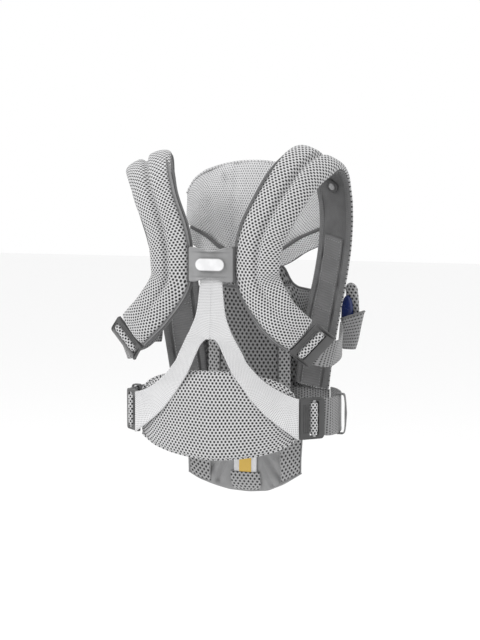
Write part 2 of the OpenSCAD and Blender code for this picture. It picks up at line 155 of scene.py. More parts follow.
class Shade:
    """One procedural material, built from a few node helpers."""

    def __init__(self, name):
        self.name = name
        self.material = bpy.data.materials.new(name)
        self.material.use_nodes = True
        self.tree = self.material.node_tree
        self.nodes = self.tree.nodes
        self.shader = self.nodes["Principled BSDF"]

    def put(self, socket, value):
        if isinstance(value, bpy.types.NodeSocket):
            self.tree.links.new(value, socket)
        elif hasattr(socket.default_value, "__len__"):
            filled = tuple(value) + (1.0,) * (len(socket.default_value) - len(value))
            socket.default_value = filled
        else:
            socket.default_value = value

    def math(self, operation, a, b=0.0):
        node = self.nodes.new("ShaderNodeMath")
        node.operation = operation
        self.put(node.inputs[0], a)
        self.put(node.inputs[1], b)
        return node.outputs[0]

    def add(self, a, b):
        return self.math("ADD", a, b)

    def sub(self, a, b):
        return self.math("SUBTRACT", a, b)

    def mul(self, a, b):
        return self.math("MULTIPLY", a, b)

    def step(self, value, low, high):
        """0 below low and 1 above high, with a smooth ramp between."""
        node = self.nodes.new("ShaderNodeMapRange")
        node.interpolation_type = "SMOOTHSTEP"
        self.put(node.inputs["Value"], value)
        node.inputs["From Min"].default_value = low
        node.inputs["From Max"].default_value = high
        return node.outputs["Result"]

    def mix(self, factor, a, b):
        node = self.nodes.new("ShaderNodeMix")
        node.data_type = "RGBA"
        self.put(node.inputs["Factor"], factor)
        self.put(node.inputs[6], a)
        self.put(node.inputs[7], b)
        return node.outputs[2]

    def cloth_uv(self):
        """The two lengths along the cloth, in millimetres: across it, then along it."""
        node = self.nodes.new("ShaderNodeUVMap")
        node.uv_map = "cloth"
        split = self.nodes.new("ShaderNodeSeparateXYZ")
        self.tree.links.new(node.outputs[0], split.inputs[0])
        return split.outputs[0], split.outputs[1]

    def cloud(self, scale, detail=2.0):
        """Smooth noise from 0 to 1, with the given number of cells in a metre."""
        node = self.nodes.new("ShaderNodeTexNoise")
        node.inputs["Scale"].default_value = scale
        node.inputs["Detail"].default_value = detail
        place = self.nodes.new("ShaderNodeTexCoord").outputs["Object"]
        self.put(node.inputs["Vector"], place)
        return node.outputs["Fac"]

    def bump(self, height, distance, strength):
        node = self.nodes.new("ShaderNodeBump")
        node.inputs["Strength"].default_value = strength
        node.inputs["Distance"].default_value = distance
        self.put(node.inputs["Height"], height)
        return node.outputs["Normal"]

    def lattice(self, pitch, hole, diamond):
        """Distance to the middle of the nearest hole of a staggered row, 1 at the hole's edge."""
        shift = self.mul(self.sub(self.cloud(260), 0.5), LATTICE_WOBBLE)
        x, y = (self.add(length, shift) for length in self.cloth_uv())
        row = self.math("DIVIDE", y, pitch[1])
        odd = self.math("MODULO", self.math("FLOOR", self.add(row, FAR_ROWS)), 2.0)
        column = self.add(self.math("DIVIDE", x, pitch[0]), self.mul(odd, 0.5))
        dx, dy = (self.mul(self.sub(self.math("FRACT", self.add(count, FAR_ROWS)), 0.5), gap / size)
                  for count, gap, size in zip((column, row), pitch, hole))
        if diamond:
            return self.add(self.math("ABSOLUTE", dx), self.math("ABSOLUTE", dy))
        return self.math("SQRT", self.add(self.mul(dx, dx), self.mul(dy, dy)))

    def finish(self, **values):
        """Sets the shader's inputs; an underscore in a name stands for a space."""
        for name, value in values.items():
            self.put(self.shader.inputs[name.replace("_", " ")], value)
        MATERIALS[self.name] = self.material


def grey(level, tint=0.01):
    return (PAINT * level, PAINT * level, PAINT * level * (1 + tint))


def knitted(name, thread, hole, pitch, hole_size, diamond=False, edge=(0.72, 1.18), depth=0.9):
    """Spacer mesh: rows of holes in a light knit; each hole is filled with painted shade, with a
    softer painted shade round its rim.
    """
    shade = Shade(name)
    d = shade.lattice(pitch, hole_size, diamond)
    open_knit = shade.step(d, *edge)
    rim = shade.step(d, edge[1] * 0.85, edge[1] * 1.75)
    fuzz = shade.cloud(2600, 3.0)
    patch = shade.cloud(60, 3.0)
    light = shade.mix(shade.step(patch, 0.25, 0.75), grey(thread * 0.93), grey(thread))
    light = shade.mix(shade.mul(fuzz, 0.22), light, grey(thread * 0.55))
    # painted shade: the ring round each hole is darkened as if the hole's wall were in shade
    light = shade.mix(rim, grey(thread * 0.62), light)
    height = shade.add(shade.mul(open_knit, 0.75), shade.mul(rim, 0.35))
    height = shade.add(height, shade.mul(fuzz, 0.18))
    # the holes take the dark hole level: painted shade standing in for the hole's depth
    shade.finish(Base_Color=shade.mix(open_knit, grey(hole), light), Roughness=0.86,
                 Normal=shade.bump(height, depth * MM, 0.8),
                 Sheen_Weight=0.25, Sheen_Roughness=0.5, Specular_IOR_Level=0.25)


def woven(name, level, pitch=0.9, contrast=0.16, ribs=0.0, depth=0.25, sheen=0.15):
    """Woven cloth: fine crossing threads, with cross ribs where a tape has them."""
    shade = Shade(name)
    x, y = shade.cloth_uv()

    def wave(place, length):
        return shade.math("SINE", shade.mul(place, 2 * math.pi / length))

    warp, weft = (shade.mul(wave(place, pitch), 0.25) for place in (shade.add(x, y),
                                                                    shade.sub(x, y)))
    threads = shade.add(warp, weft)
    if ribs:
        threads = shade.add(threads, shade.mul(wave(y, ribs), 0.4))
    threads = shade.add(threads, 0.5)
    slub = shade.cloud(1500, 3.0)
    worn = shade.cloud(45, 4.0)
    light = shade.mix(shade.step(worn, 0.3, 0.7), grey(level * 0.9), grey(level * 1.08))
    light = shade.mix(shade.mul(slub, 0.2), light, grey(level * 0.6))
    colour = shade.mix(shade.mul(threads, contrast), light, grey(level * 0.45))
    height = shade.add(threads, shade.mul(slub, 0.6))
    shade.finish(Base_Color=colour, Roughness=0.8, Normal=shade.bump(height, depth * MM, 0.7),
                 Sheen_Weight=sheen, Sheen_Roughness=0.4, Specular_IOR_Level=0.3)


def moulded(name, colour, roughness=0.42, grain=0.05, coat=0.0):
    """Moulded plastic with a fine spark grain and slightly polished high spots."""
    shade = Shade(name)
    spark = shade.cloud(3800)
    patch = shade.cloud(70, 3.0)
    deep = tuple(0.86 * c for c in colour)
    shade.finish(Base_Color=shade.mix(shade.step(patch, 0.3, 0.7), deep, colour),
                 Roughness=shade.add(shade.mul(patch, 0.16), roughness - 0.08),
                 Normal=shade.bump(spark, grain * MM, 0.6), Coat_Weight=coat)


def scale_tape(name):
    """Yellow label tape with plain darker bars across it, like the steps of a ruler."""
    shade = Shade(name)
    period, middle = 5.4, 9.0
    x, y = shade.cloth_uv()
    bar = shade.math("FRACT", shade.math("DIVIDE", y, period))
    bar = shade.math("ABSOLUTE", shade.sub(bar, 0.5))
    off = shade.math("ABSOLUTE", shade.sub(x, middle))
    bars = shade.mul(shade.step(bar, 0.30, 0.36), shade.sub(1.0, shade.step(off, 5.0, 5.6)))
    weave = shade.cloud(2400)
    gold = shade.mix(shade.mul(weave, 0.35), (0.66, 0.44, 0.09), (0.42, 0.25, 0.04))
    shade.finish(Base_Color=shade.mix(shade.mul(bars, 0.85), gold, (0.20, 0.12, 0.02)),
                 Roughness=0.62, Normal=shade.bump(weave, 0.15 * MM, 0.6))


# the second number of each knit is the level of the painted shade in its holes
knitted("light_mesh", 0.82, 0.02, (5.3, 3.5), (1.55, 1.4))
knitted("head_mesh", 0.84, 0.2, (3.6, 2.6), (0.75, 0.7), edge=(0.5, 1.3), depth=0.5)
knitted("dark_mesh", 0.34, 0.012, (6.4, 5.2), (1.95, 2.6), diamond=True)
knitted("trim_mesh", 0.52, 0.02, (6.2, 4.6), (1.75, 2.1), diamond=True)
knitted("webbing_mesh", 0.34, 0.04, (3.6, 4.4), (1.0, 0.85))
knitted("ribbed", 0.92, 0.45, (2.5, 2.1), (0.62, 0.55), edge=(0.5, 1.3), depth=0.4)
woven("lining", 0.155)
woven("lining_tape", 0.20, pitch=1.6, contrast=0.3, ribs=3.2, depth=0.4)
woven("webbing", 0.21, pitch=2.0, contrast=0.25, ribs=3.6, depth=0.45)
woven("smooth_lining", 0.36, contrast=0.08, sheen=0.4)
woven("wall_tape", 0.34, pitch=2.2, contrast=0.3, ribs=2.2, depth=0.35)
woven("piping", 0.16, pitch=1.4, contrast=0.25, depth=0.3)
woven("thread", 0.42, pitch=0.6, contrast=0.3)
woven("dark_thread", 0.10, pitch=0.6, contrast=0.3)
woven("label", 0.86, pitch=0.6, contrast=0.06, sheen=0.1)
scale_tape("scale")
moulded("plate_grey", grey(0.30))
moulded("frame_dark", grey(0.075))
moulded("steel", grey(0.45), roughness=0.3)
moulded("badge", grey(0.88), roughness=0.22, grain=0.01, coat=0.5)
moulded("blue", (0.003, 0.016, 0.11), roughness=0.25, grain=0.02, coat=0.3)


# ---- Curves and meshes ------------------------------------------------------

def spline(rows, per_span):
    """Every row of numbers along a smooth curve through the given rows."""
    rows = np.array(rows, float)
    last = len(rows) - 1
    out = []
    for i in range(last):
        a, b, c, d = rows[max(i - 1, 0)], rows[i], rows[i + 1], rows[min(i + 2, last)]
        for t in np.arange(per_span) / per_span:
            out.append((2 * b + (c - a) * t + (2 * a - 5 * b + 4 * c - d) * t ** 2
                        + (3 * b - a - 3 * c + d) * t ** 3) / 2)
    out.append(rows[last])
    return np.array(out)


def circle(count):
    """Angles of a full turn in equal steps."""
    return np.linspace(0, 2 * math.pi, count, endpoint=False)


def unit(v):
    return v / np.linalg.norm(v, axis=-1, keepdims=True)


def lengths(points):
    """Distance along a row of points, starting at 0."""
    return np.concatenate([[0], np.cumsum(np.linalg.norm(np.diff(points, axis=0), axis=1))])


class Path:
    """A strap's middle line with its axes: side across the strap, out away from the body."""

    def __init__(self, rows, per_span=10):
        rows = spline(rows, per_span)
        self.at = rows[:, :3]
        self.half = rows[:, 6] if rows.shape[1] > 6 else None
        self.forward = unit(np.gradient(self.at, axis=0))
        across = rows[:, 3:6]
        lean = (across * self.forward).sum(1, keepdims=True)
        self.side = unit(across - self.forward * lean)
        self.out = np.cross(self.side, self.forward)
        self.along = lengths(self.at)

    def beside(self, u, v, rows=slice(None)):
        """Points at u across and v out; u and v have a value for each row and column."""
        u = np.asarray(u, float)[..., None]
        v = np.asarray(v, float)[..., None]
        return (self.at[rows][:, None] + self.side[rows][:, None] * u
                + self.out[rows][:, None] * v)


def new_mesh(name, points, faces, uv, material, side=1):
    """A mesh object from points in millimetres; uv has one pair for each corner of each face."""
    points = np.array(points, float) * MM
    points[:, 0] *= side
    corners = uv
    if side < 0:
        faces = [tuple(reversed(face)) for face in faces]
        corners = [list(reversed(pairs)) for pairs in uv]
    mesh = bpy.data.meshes.new(name)
    mesh.from_pydata(points.tolist(), [], [tuple(int(i) for i in f) for f in faces])
    layer = mesh.uv_layers.new(name="cloth")
    flat = np.array([p for pairs in corners for p in pairs], np.float32)
    layer.data.foreach_set("uv", flat.ravel())
    mesh.polygons.foreach_set("use_smooth", [True] * len(mesh.polygons))
    mesh.materials.append(MATERIALS[material])
    mesh.validate()
    work = bmesh.new()
    work.from_mesh(mesh)
    bmesh.ops.recalc_face_normals(work, faces=work.faces)
    work.to_mesh(mesh)
    work.free()
    obj = bpy.data.objects.new(name, mesh)
    bpy.context.collection.objects.link(obj)
    return obj


def grid_faces(rows, columns, closed):
    """Corner numbers of the quads of a grid, and where each corner lies in a uv grid."""
    wide = columns if closed else columns - 1
    faces, spots = [], []
    for i in range(rows - 1):
        for j in range(wide):
            k = (j + 1) % columns
            faces.append((i * columns + j, i * columns + k,
                          (i + 1) * columns + k, (i + 1) * columns + j))
            spots.append(((i, j), (i, j + 1), (i + 1, j + 1), (i + 1, j)))
    return faces, spots


def loft(name, grid, material, side=1, closed=False, capped=False, across=None, along=None,
         turned=False):
    """A surface through rows of points. The uv map holds lengths along the cloth, with the
    threads turned a quarter when turned is set."""
    grid = np.array(grid, float)
    rows, columns = grid.shape[:2]
    if along is None:
        along = lengths(grid.mean(1))
    if across is None:
        ring = np.concatenate([grid, grid[:, :1]], axis=1) if closed else grid
        steps = np.linalg.norm(np.diff(ring, axis=1), axis=2)
        across = np.concatenate([[0], np.cumsum(steps.mean(0))])
        across -= across.mean()
    if len(across) == columns:
        across = np.append(across, across[0])
    faces, spots = grid_faces(rows, columns, closed)
    uv = [[(across[j], along[i]) for i, j in corner] for corner in spots]
    if capped:
        for i, order in ((0, 1), (rows - 1, -1)):
            ring = list(range(i * columns, (i + 1) * columns))[::-order]
            faces.append(tuple(ring))
            uv.append([(across[n % columns], along[i]) for n in ring])
    if turned:
        uv = [[(v, u) for u, v in pairs] for pairs in uv]
    return new_mesh(name, grid.reshape(-1, 3), faces, uv, material, side)


def shell(name, grid, material, side=1, **more):
    """A closed surface through rings of points, with an end face on its first and last ring."""
    return loft(name, grid, material, side, closed=True, capped=True, **more)


def there_and_back(values):
    return np.concatenate([values, values[::-1]])


def rounded_ends(grid, depth):
    """Adds rows that close both ends of a closed loft with a soft rounding."""
    def end(ring, inner):
        centre = ring.mean(0)
        forward = unit(centre - inner.mean(0))
        rows = []
        for angle in (35, 62, 82):
            a = math.radians(angle)
            shrunk = centre + (ring - centre) * math.cos(a) ** 0.6
            rows.append(shrunk + forward * depth * math.sin(a))
        return rows
    first = end(grid[0], grid[1])[::-1]
    last = end(grid[-1], grid[-2])
    return np.concatenate([first, grid, last])


def tube(name, points, radius, material, side=1, sides=12, closed=False):
    """A round cord along points in millimetres."""
    points = np.array(points, float)
    if closed:
        points = np.concatenate([points, points[:1]])
    forward = unit(np.gradient(points, axis=0))
    if closed:
        ends = unit(points[1] - points[-2])
        forward[0] = forward[-1] = ends
    normal = np.zeros_like(points)
    first = np.cross(forward[0], [0.0, 0.0, 1.0])
    if np.linalg.norm(first) < 0.1:
        first = np.cross(forward[0], [1.0, 0.0, 0.0])
    normal[0] = unit(first)
    for i in range(1, len(points)):
        carried = normal[i - 1] - forward[i] * (normal[i - 1] @ forward[i])
        normal[i] = unit(carried)
    other = np.cross(normal, forward)
    angle = circle(sides)
    grid = (points[:, None] + radius * (normal[:, None] * np.cos(angle)[None, :, None]
                                        + other[:, None] * np.sin(angle)[None, :, None]))
    return loft(name, grid, material, side, closed=True, capped=not closed)


def stitches(name, lines, material, side=1, length=2.8, space=1.5, radius=0.42):
    """Rows of thread stitches: short low pills that follow lines of (points, out) pairs."""
    points, faces, uv = [], [], []
    ring = 6
    for line, out in lines:
        line, out = np.array(line, float), np.array(out, float)
        along = lengths(line)
        for start in np.arange(space, along[-1] - length, length + space):
            t = start + length * np.array([0, 0.18, 0.82, 1.0])
            at = np.stack([np.interp(t, along, line[:, k]) for k in range(3)], axis=1)
            up = unit(np.array([np.interp(start, along, out[:, k]) for k in range(3)]))
            forward = unit(at[-1] - at[0])
            wide = np.cross(up, forward)
            base = len(points)
            for place, size in zip(at, (0.35, 1, 1, 0.35)):
                for a in np.arange(ring) * 2 * math.pi / ring:
                    points.append(place + radius * size
                                  * (wide * math.cos(a) + up * (math.sin(a) * 0.8 + 0.2)))
            for i in range(3):
                for j in range(ring):
                    k = (j + 1) % ring
                    faces.append((base + i * ring + j, base + i * ring + k,
                                  base + (i + 1) * ring + k, base + (i + 1) * ring + j))
            faces.append(tuple(base + j for j in range(ring))[::-1])
            faces.append(tuple(base + 3 * ring + j for j in range(ring)))
    uv = [[(points[i][0], points[i][2]) for i in face] for face in faces]
    return new_mesh(name, points, faces, uv, material, side)


def ripple(points, size, scale, seed=0.0, direction=None):
    """Smooth noise moves of up to about size, the same on every run."""
    flat = points.reshape(-1, 3)
    moves = np.array([noise.noise(Vector(p / scale) + Vector((seed, seed * 2, seed * 3)))
                      for p in flat])
    moves = (moves * size).reshape(points.shape[:-1])
    if direction is None:
        return moves
    return points + moves[..., None] * direction


SWELL_FRAMES = 20
CLOTH_STIFFNESS = 12.0


def inflate(obj, pressure, cap, held):
    """Swells a closed cover by cloth simulation, each point by cap millimetres at most; held is
    the share, 0 to 1, that each point stays."""
    mesh = obj.data
    start = np.array([v.co for v in mesh.vertices])
    group = obj.vertex_groups.new(name="held")
    for i, weight in enumerate(held):
        group.add([i], float(weight), "REPLACE")
    cloth = obj.modifiers.new("swell", "CLOTH")
    settings = cloth.settings
    settings.quality = 4
    settings.mass = 0.25
    settings.tension_stiffness = CLOTH_STIFFNESS
    settings.compression_stiffness = CLOTH_STIFFNESS
    settings.shear_stiffness = CLOTH_STIFFNESS / 2
    settings.bending_stiffness = 0.6
    settings.use_pressure = True
    settings.uniform_pressure_force = pressure
    settings.vertex_group_mass = "held"
    settings.effector_weights.gravity = 0
    cloth.point_cache.frame_start = 1
    cloth.point_cache.frame_end = SWELL_FRAMES
    scene = bpy.context.scene
    for number in range(1, SWELL_FRAMES + 1):
        scene.frame_set(number)
    shown = obj.evaluated_get(bpy.context.evaluated_depsgraph_get())
    moved = np.array([v.co for v in shown.data.vertices])
    shift = moved - start
    far = np.linalg.norm(shift, axis=1, keepdims=True)
    shift *= np.minimum(1, cap * MM / np.maximum(far, 1e-9))
    obj.modifiers.remove(cloth)
    obj.vertex_groups.remove(group)
    mesh.vertices.foreach_set("co", (start + shift).astype(np.float32).ravel())
    mesh.update()
    scene.frame_set(1)


def cord(name, points, radius, material, slot, side=1, body="harness", nodes=(), **more):
    """A tube along points, riding on a body."""
    return body_piece(tube(name, points, radius, material, side, **more), body, slot, *nodes)


def body_piece(obj, body, slot, *nodes):
    """A piece that rides on a body and stands for CAD nodes, which it hides; slot is not used."""
    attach(obj, body)
    if nodes:
        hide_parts(*nodes)
    return obj


def surface_of(obj):
    """Search tree over an object's faces, in millimetres."""
    mesh = obj.data
    return BVHTree.FromPolygons([v.co / MM for v in mesh.vertices],
                                [tuple(p.vertices) for p in mesh.polygons])


add_stage()


# ---- Shoulder straps --------------------------------------------------------

FRAME_LEN = 39
WAIST_INNER = 22  # from the bar to the frame's end at the lumbar pad
SHOULDER_INNER = 16  # from the bar to the frame's end at the padded strap
WAIST_FRAME_W = 57
SHOULDER_FRAME_W = 56
BAR_TO_STRAP_END = SHOULDER_INNER + 4
right_bar = cad_centre("right_shoulder_bar")
tilt_joint = next(j for j in frame["joints"] if j["name"] == "right_shoulder_tilt")
SHOULDER_ACROSS = unit(-np.array(tilt_joint["axis"], float))
down_strap = np.array([0.60, 0.52, -0.62])  # roughly the way the strap's end points
SHOULDER_ALONG = unit(down_strap - SHOULDER_ACROSS * (down_strap @ SHOULDER_ACROSS))
SHOULDER_OUT = np.cross(SHOULDER_ALONG, SHOULDER_ACROSS)
strap_end = right_bar - SHOULDER_ALONG * BAR_TO_STRAP_END - SHOULDER_OUT * 6

STRAP_ROWS = [
    [*strap_end, *SHOULDER_ACROSS, 26],
    [103, -68, 134, 0.64, 0.15, 0.74, 27],
    [87, -70, 152, 0.76, 0.10, 0.62, 28],
    [66.5, -69, 186, 0.99, 0, 0.10, 30],
    [63.5, -71, 214, 0.98, -0.03, -0.16, 31],
    [70, -68, 254, 0.93, -0.02, -0.34, 31.5],
    [90, -52, 300, 0.90, 0.03, -0.42, 32],
    [107, -24, 335, 0.90, 0.05, -0.42, 34],
    [122, 10, 351, 0.91, -0.05, -0.40, 35],
    [130.5, 40, 335, 0.91, -0.32, -0.22, 32.5],
    [135, 59, 294, 0.88, -0.46, -0.05, 30],
    [131, 76, 240, 0.88, -0.47, 0, 29],
    [119.5, 88, 180, 0.90, -0.42, 0, 28.5],
    [104, 93, 110, 0.95, -0.30, 0, 28],
    [92, 94, 30, 0.97, -0.24, 0, 27],
]
PER_SPAN = 12
STRAP = Path(STRAP_ROWS, PER_SPAN)
SPANS = np.arange(len(STRAP.at)) / PER_SPAN  # place along the strap, counted in control rows
CREST = 8
LINING_T = 1.6


PAD_OUTER = 45  # points round the pad's outer face, seam to seam
PAD_INNER = 19


def pad_section(rows):
    """Columns of u and v round the pad: two lobes with a valley on the outer face."""
    outer = np.sin(np.linspace(math.pi / 2, -math.pi / 2, PAD_OUTER))
    inner = np.sin(np.linspace(-math.pi / 2, math.pi / 2, PAD_INNER))[1:-1]
    full = np.interp(rows, [0, 0.6, 2, 3, 8, 9, 10.2, 14], [8, 10, 11, 12, 12.5, 10, 5, 4.5])
    valley = np.interp(rows, [0, 1.5, 3, 5, 8.6, 9.6, 14], [0.0, 0.12, 0.42, 0.55, 0.6, 0.2, 0])
    half = STRAP.half[:, None]
    edge = (1 - np.abs(outer) ** 3.4) ** 0.5
    lobes = 1 - valley[:, None] * np.exp(-((outer[None] - 0.02) / 0.13) ** 2)
    u_out = half * outer[None] * (1 + 0.015 * np.sin(math.pi * edge))[None]
    v_out = 1.2 + full[:, None] * edge[None] * lobes
    u_in = half * inner[None] * 0.985
    v_in = np.full((len(rows), 1), 0.6) - 0.5 * (1 - inner[None] ** 6)
    return np.concatenate([u_out, u_in], axis=1), np.concatenate([v_out, v_in], axis=1)


def shoulder_pad(name, side):
    u, v = pad_section(SPANS)
    grid = STRAP.beside(u, v)
    grid = ripple(grid, 0.9, 22.0, seed=side * 3.0, direction=STRAP.out[:, None])
    grid = rounded_ends(grid, 3.0)
    pad = shell(f"{name}_padded_strap", grid, "light_mesh", side)
    held = np.zeros(grid.shape[:2])
    held[:, PAD_OUTER:] = 1
    held[:, :3] = held[:, PAD_OUTER - 3:PAD_OUTER] = 1
    held[:3] = held[-3:] = 1
    inflate(pad, 2.4, 2.2, held.ravel())
    return body_piece(pad, "harness", "light_mesh", f"{name}_shoulder_pad")


def strap_band(name, first, last, u, v, material, side, wave=0.0):
    """A closed flat band on the strap between two control rows; u and v go round it."""
    keep = (SPANS >= first) & (SPANS <= last)
    rows = np.nonzero(keep)[0]
    u = np.broadcast_to(u, (len(rows), np.shape(u)[-1]))
    v = np.broadcast_to(v, (len(rows), np.shape(v)[-1]))
    grid = STRAP.beside(u, v, rows)
    if wave:
        grid = ripple(grid, wave, 16.0, seed=side * 5.0, direction=STRAP.out[rows][:, None])
    return shell(name, grid, material, side)


def shoulder_strap(name, side):
    shoulder_pad(name, side)
    half = STRAP.half
    x = np.linspace(-1, 1, 25)
    face = -LINING_T - 0.5 - 0.7 * np.exp(-((np.abs(x) - 0.9) / 0.08) ** 2)
    tuck = np.interp(SPANS, [0, 6, 8], [6, 6, 0])[:, None]
    u = there_and_back(x)[None] * (half[:, None] - 0.8)
    u = np.minimum(u, half[:, None] - 0.8 - tuck)
    v = np.concatenate([face, np.full(25, -0.4)])[None] * np.ones((len(half), 1))
    grid = STRAP.beside(u, v)
    fold = ripple(grid, 2.0, 15.0, seed=side * 7.0)
    inside = np.concatenate([1 - np.abs(x) ** 4, np.zeros(25)])
    grid = grid + (fold * inside[None])[..., None] * -STRAP.out[:, None]
    lining = shell(f"{name}_strap_lining_cloth", grid, "lining", side)
    body_piece(lining, "harness", "woven_lining", f"{name}_strap_lining")
    turn = circle(12)
    for label, edge in (("outer", 1), ("inner", -1)):
        hidden = tuck if edge > 0 else 0
        binding_u = edge * (half[:, None] - 4.2 - hidden) + 4.6 * np.cos(turn)[None]
        binding_v = (-1.9 + 1.6 * np.sin(turn)[None]) * np.ones((len(half), 1))
        grid = STRAP.beside(binding_u, binding_v)
        piece = shell(f"{name}_lining_binding_{label}", grid, "lining_tape", side)
        body_piece(piece, "harness", "woven_webbing")
    side_wall(name, side)
    front_channel(name, side)
    snap_ring(name, side)


def side_wall(name, side):
    """Tape up the inner side of the pad, and the corded piping at its edge."""
    keep = np.nonzero(SPANS <= CREST + 0.15)[0]
    half = STRAP.half[keep][:, None]
    height = np.interp(SPANS[keep], [0, 1.5, 3, 5, 6.4, 7.4, 8.2],
                       [4, 5.5, 6.5, 8.5, 8.5, 5.0, 1.5])[:, None]
    tuck = np.interp(SPANS[keep], [6.2, 7.6], [0, 4.5])[:, None]
    a = np.linspace(0, 1, 9)[None]
    bow = 1.4 * np.sin(math.pi * a)
    outer_u = -half - 0.6 - bow + tuck
    inner_u = np.repeat(-half + 1.0 + tuck, a.shape[1], axis=1)
    u = np.concatenate([outer_u, inner_u[:, ::-1]], axis=1)
    v = np.concatenate([0.6 + height * a, (0.6 + height * a)[:, ::-1]], axis=1)
    grid = STRAP.beside(u, v, keep)
    wall = shell(f"{name}_side_wall_tape", grid, "wall_tape", side)
    body_piece(wall, "harness", "piping")
    edge = STRAP.beside(-half - 2.3 + tuck, 0.2 - 0.3 * tuck, keep)[:, 0]
    cord(f"{name}_piping", edge, 2.2, "piping", "piping", side, nodes=[f"{name}_rail"])
    seam = STRAP.beside(-half - 0.2 + tuck, 1.4 + height, keep)[:, 0]
    cord(f"{name}_pad_seam", seam, 0.7, "piping", "piping", side, sides=8)


def front_channel(name, side):
    """Webbing sewn on the lining down the wearer's chest, with its stitching."""
    first, last = 10.9, 14
    x = np.linspace(-1, 1, 11)
    wide = 16
    face = -LINING_T - 2.6 - 0.4 * (1 - x ** 4)
    u = there_and_back(x) * wide
    v = np.concatenate([face, np.full(11, -LINING_T - 0.4)])
    piece = strap_band(f"{name}_chest_webbing", first, last, u, v, "webbing", side, wave=0.7)
    body_piece(piece, "harness", "woven_webbing", f"{name}_front_webbing")
    keep = np.nonzero((SPANS >= first) & (SPANS <= last))[0]
    lines = []
    for offset in (-wide + 1.8, wide - 1.8):
        ones = np.ones((len(keep), 1))
        line = STRAP.beside(offset * ones, (-LINING_T - 3.1) * ones, keep)[:, 0]
        lines.append((line, -STRAP.out[keep]))
    for place in (10.98, 11.45, 12.0, 12.6):
        row = int(round(place * PER_SPAN))
        u = np.linspace(-wide + 2, wide - 2, 9)[None]
        line = STRAP.beside(u, np.full((1, 9), -LINING_T - 3.2), [row])[0]
        lines.append((line, np.repeat(-STRAP.out[row][None], 9, axis=0)))
    piece = stitches(f"{name}_chest_stitching", lines, "thread", side)
    body_piece(piece, "harness", "woven_webbing")


def snap_ring(name, side):
    """Snap socket: a dark domed ring with a bright cup, on the lining."""
    mount = next(m for m in frame["record"]["mounts"] if m["name"] == "right_snap")
    axis = unit(np.array(mount["axis"], float))
    centre = np.array(mount["pos_m"], float) / MM - axis * 2.0
    across = unit(np.cross(axis, [0, 0, 1.0]))
    up = np.cross(axis, across)
    angle = circle(40)
    ring = np.cos(angle)[:, None] * across + np.sin(angle)[:, None] * up

    def turned(label, profile, material, slot, *nodes):
        rows = [centre + ring * r + axis * h for r, h in profile]
        piece = loft(label, np.array(rows), material, side, closed=True)
        return body_piece(piece, "harness", slot, *nodes)

    turned(f"{name}_snap_ring",
           [(5.0, 0.0), (9.6, 0.0), (10, 0.6), (9.8, 1.6), (9.0, 2.6), (7.6, 3.1), (6.0, 2.9),
            (5.2, 2.2), (5.0, 0.0)][::-1],
           "frame_dark", "moulded_dark", f"{name}_snap")
    turned(f"{name}_snap_cup",
           [(0.01, 0.5), (2.4, 0.5), (3.0, 1.0), (3.6, 2.0), (4.2, 2.5), (4.9, 2.3), (5.0, 0.6)][::-1],
           "steel", "steel")


for strap_name, strap_side in SIDES.items():
    shoulder_strap(strap_name, strap_side)


# ---- Back plate -------------------------------------------------------------

def flat_plate(name, outline, holes, thick, bevel, material, place):
    """A flat moulded plate with rounded edges; place turns its flat points to millimetres."""
    curve = bpy.data.curves.new(name, "CURVE")
    curve.dimensions = "2D"
    curve.fill_mode = "BOTH"
    curve.extrude = thick / 2 - bevel
    curve.bevel_depth = bevel
    curve.bevel_resolution = 3
    curve.offset = -bevel
    for loop in [outline, *holes]:
        line = curve.splines.new("POLY")
        line.points.add(len(loop) - 1)
        for point, (x, y) in zip(line.points, loop):
            point.co = (x, y, 0, 1)
        line.use_cyclic_u = True
    drawn = bpy.data.objects.new(name, curve)
    bpy.context.collection.objects.link(drawn)
    flat = drawn.evaluated_get(bpy.context.evaluated_depsgraph_get()).to_mesh()
    points = np.array([v.co for v in flat.vertices])
    faces = [tuple(f.vertices) for f in flat.polygons]
    bpy.data.objects.remove(drawn)
    uv = [[(points[i][0], points[i][1]) for i in face] for face in faces]
    obj = new_mesh(name, place(points), faces, uv, material)
    bm_clean(obj)
    return obj


def bm_clean(obj):
    """Joins double points, and gives corners of over 40 degrees a hard edge."""
    work = bmesh.new()
    work.from_mesh(obj.data)
    bmesh.ops.remove_doubles(work, verts=work.verts, dist=0.02 * MM)
    bmesh.ops.recalc_face_normals(work, faces=work.faces)
    for edge in work.edges:
        edge.smooth = len(edge.link_faces) != 2 or edge.calc_face_angle(0) < math.radians(40)
    work.to_mesh(obj.data)
    work.free()


def rounded_box(long, wide, radii, count=6):
    """Corner-rounded rectangle; one radius for each corner, from lower left, turning left."""
    corners = [(-1, -1, 180), (1, -1, 270), (1, 1, 0), (-1, 1, 90)]
    points = []
    for (sx, sy, start), radius in zip(corners, radii):
        cx, cy = sx * (long / 2 - radius), sy * (wide / 2 - radius)
        for a in np.radians(start + np.linspace(0, 90, count)):
            points.append((cx + radius * math.cos(a), cy + radius * math.sin(a)))
    return points


PLATE_LOW, PLATE_HIGH = cad_box("back_plate")
PLATE_MID = (PLATE_LOW + PLATE_HIGH) / 2
PLATE_W, PLATE_T, PLATE_H = PLATE_HIGH - PLATE_LOW


def plate_edges(x):
    """Height of the plate's top edge above its middle: hollow, with square shoulders."""
    hollow = 5.2 * (0.5 + 0.5 * math.cos(math.pi * min(1, abs(x) / 24))) ** 0.8
    return PLATE_H / 2 - hollow


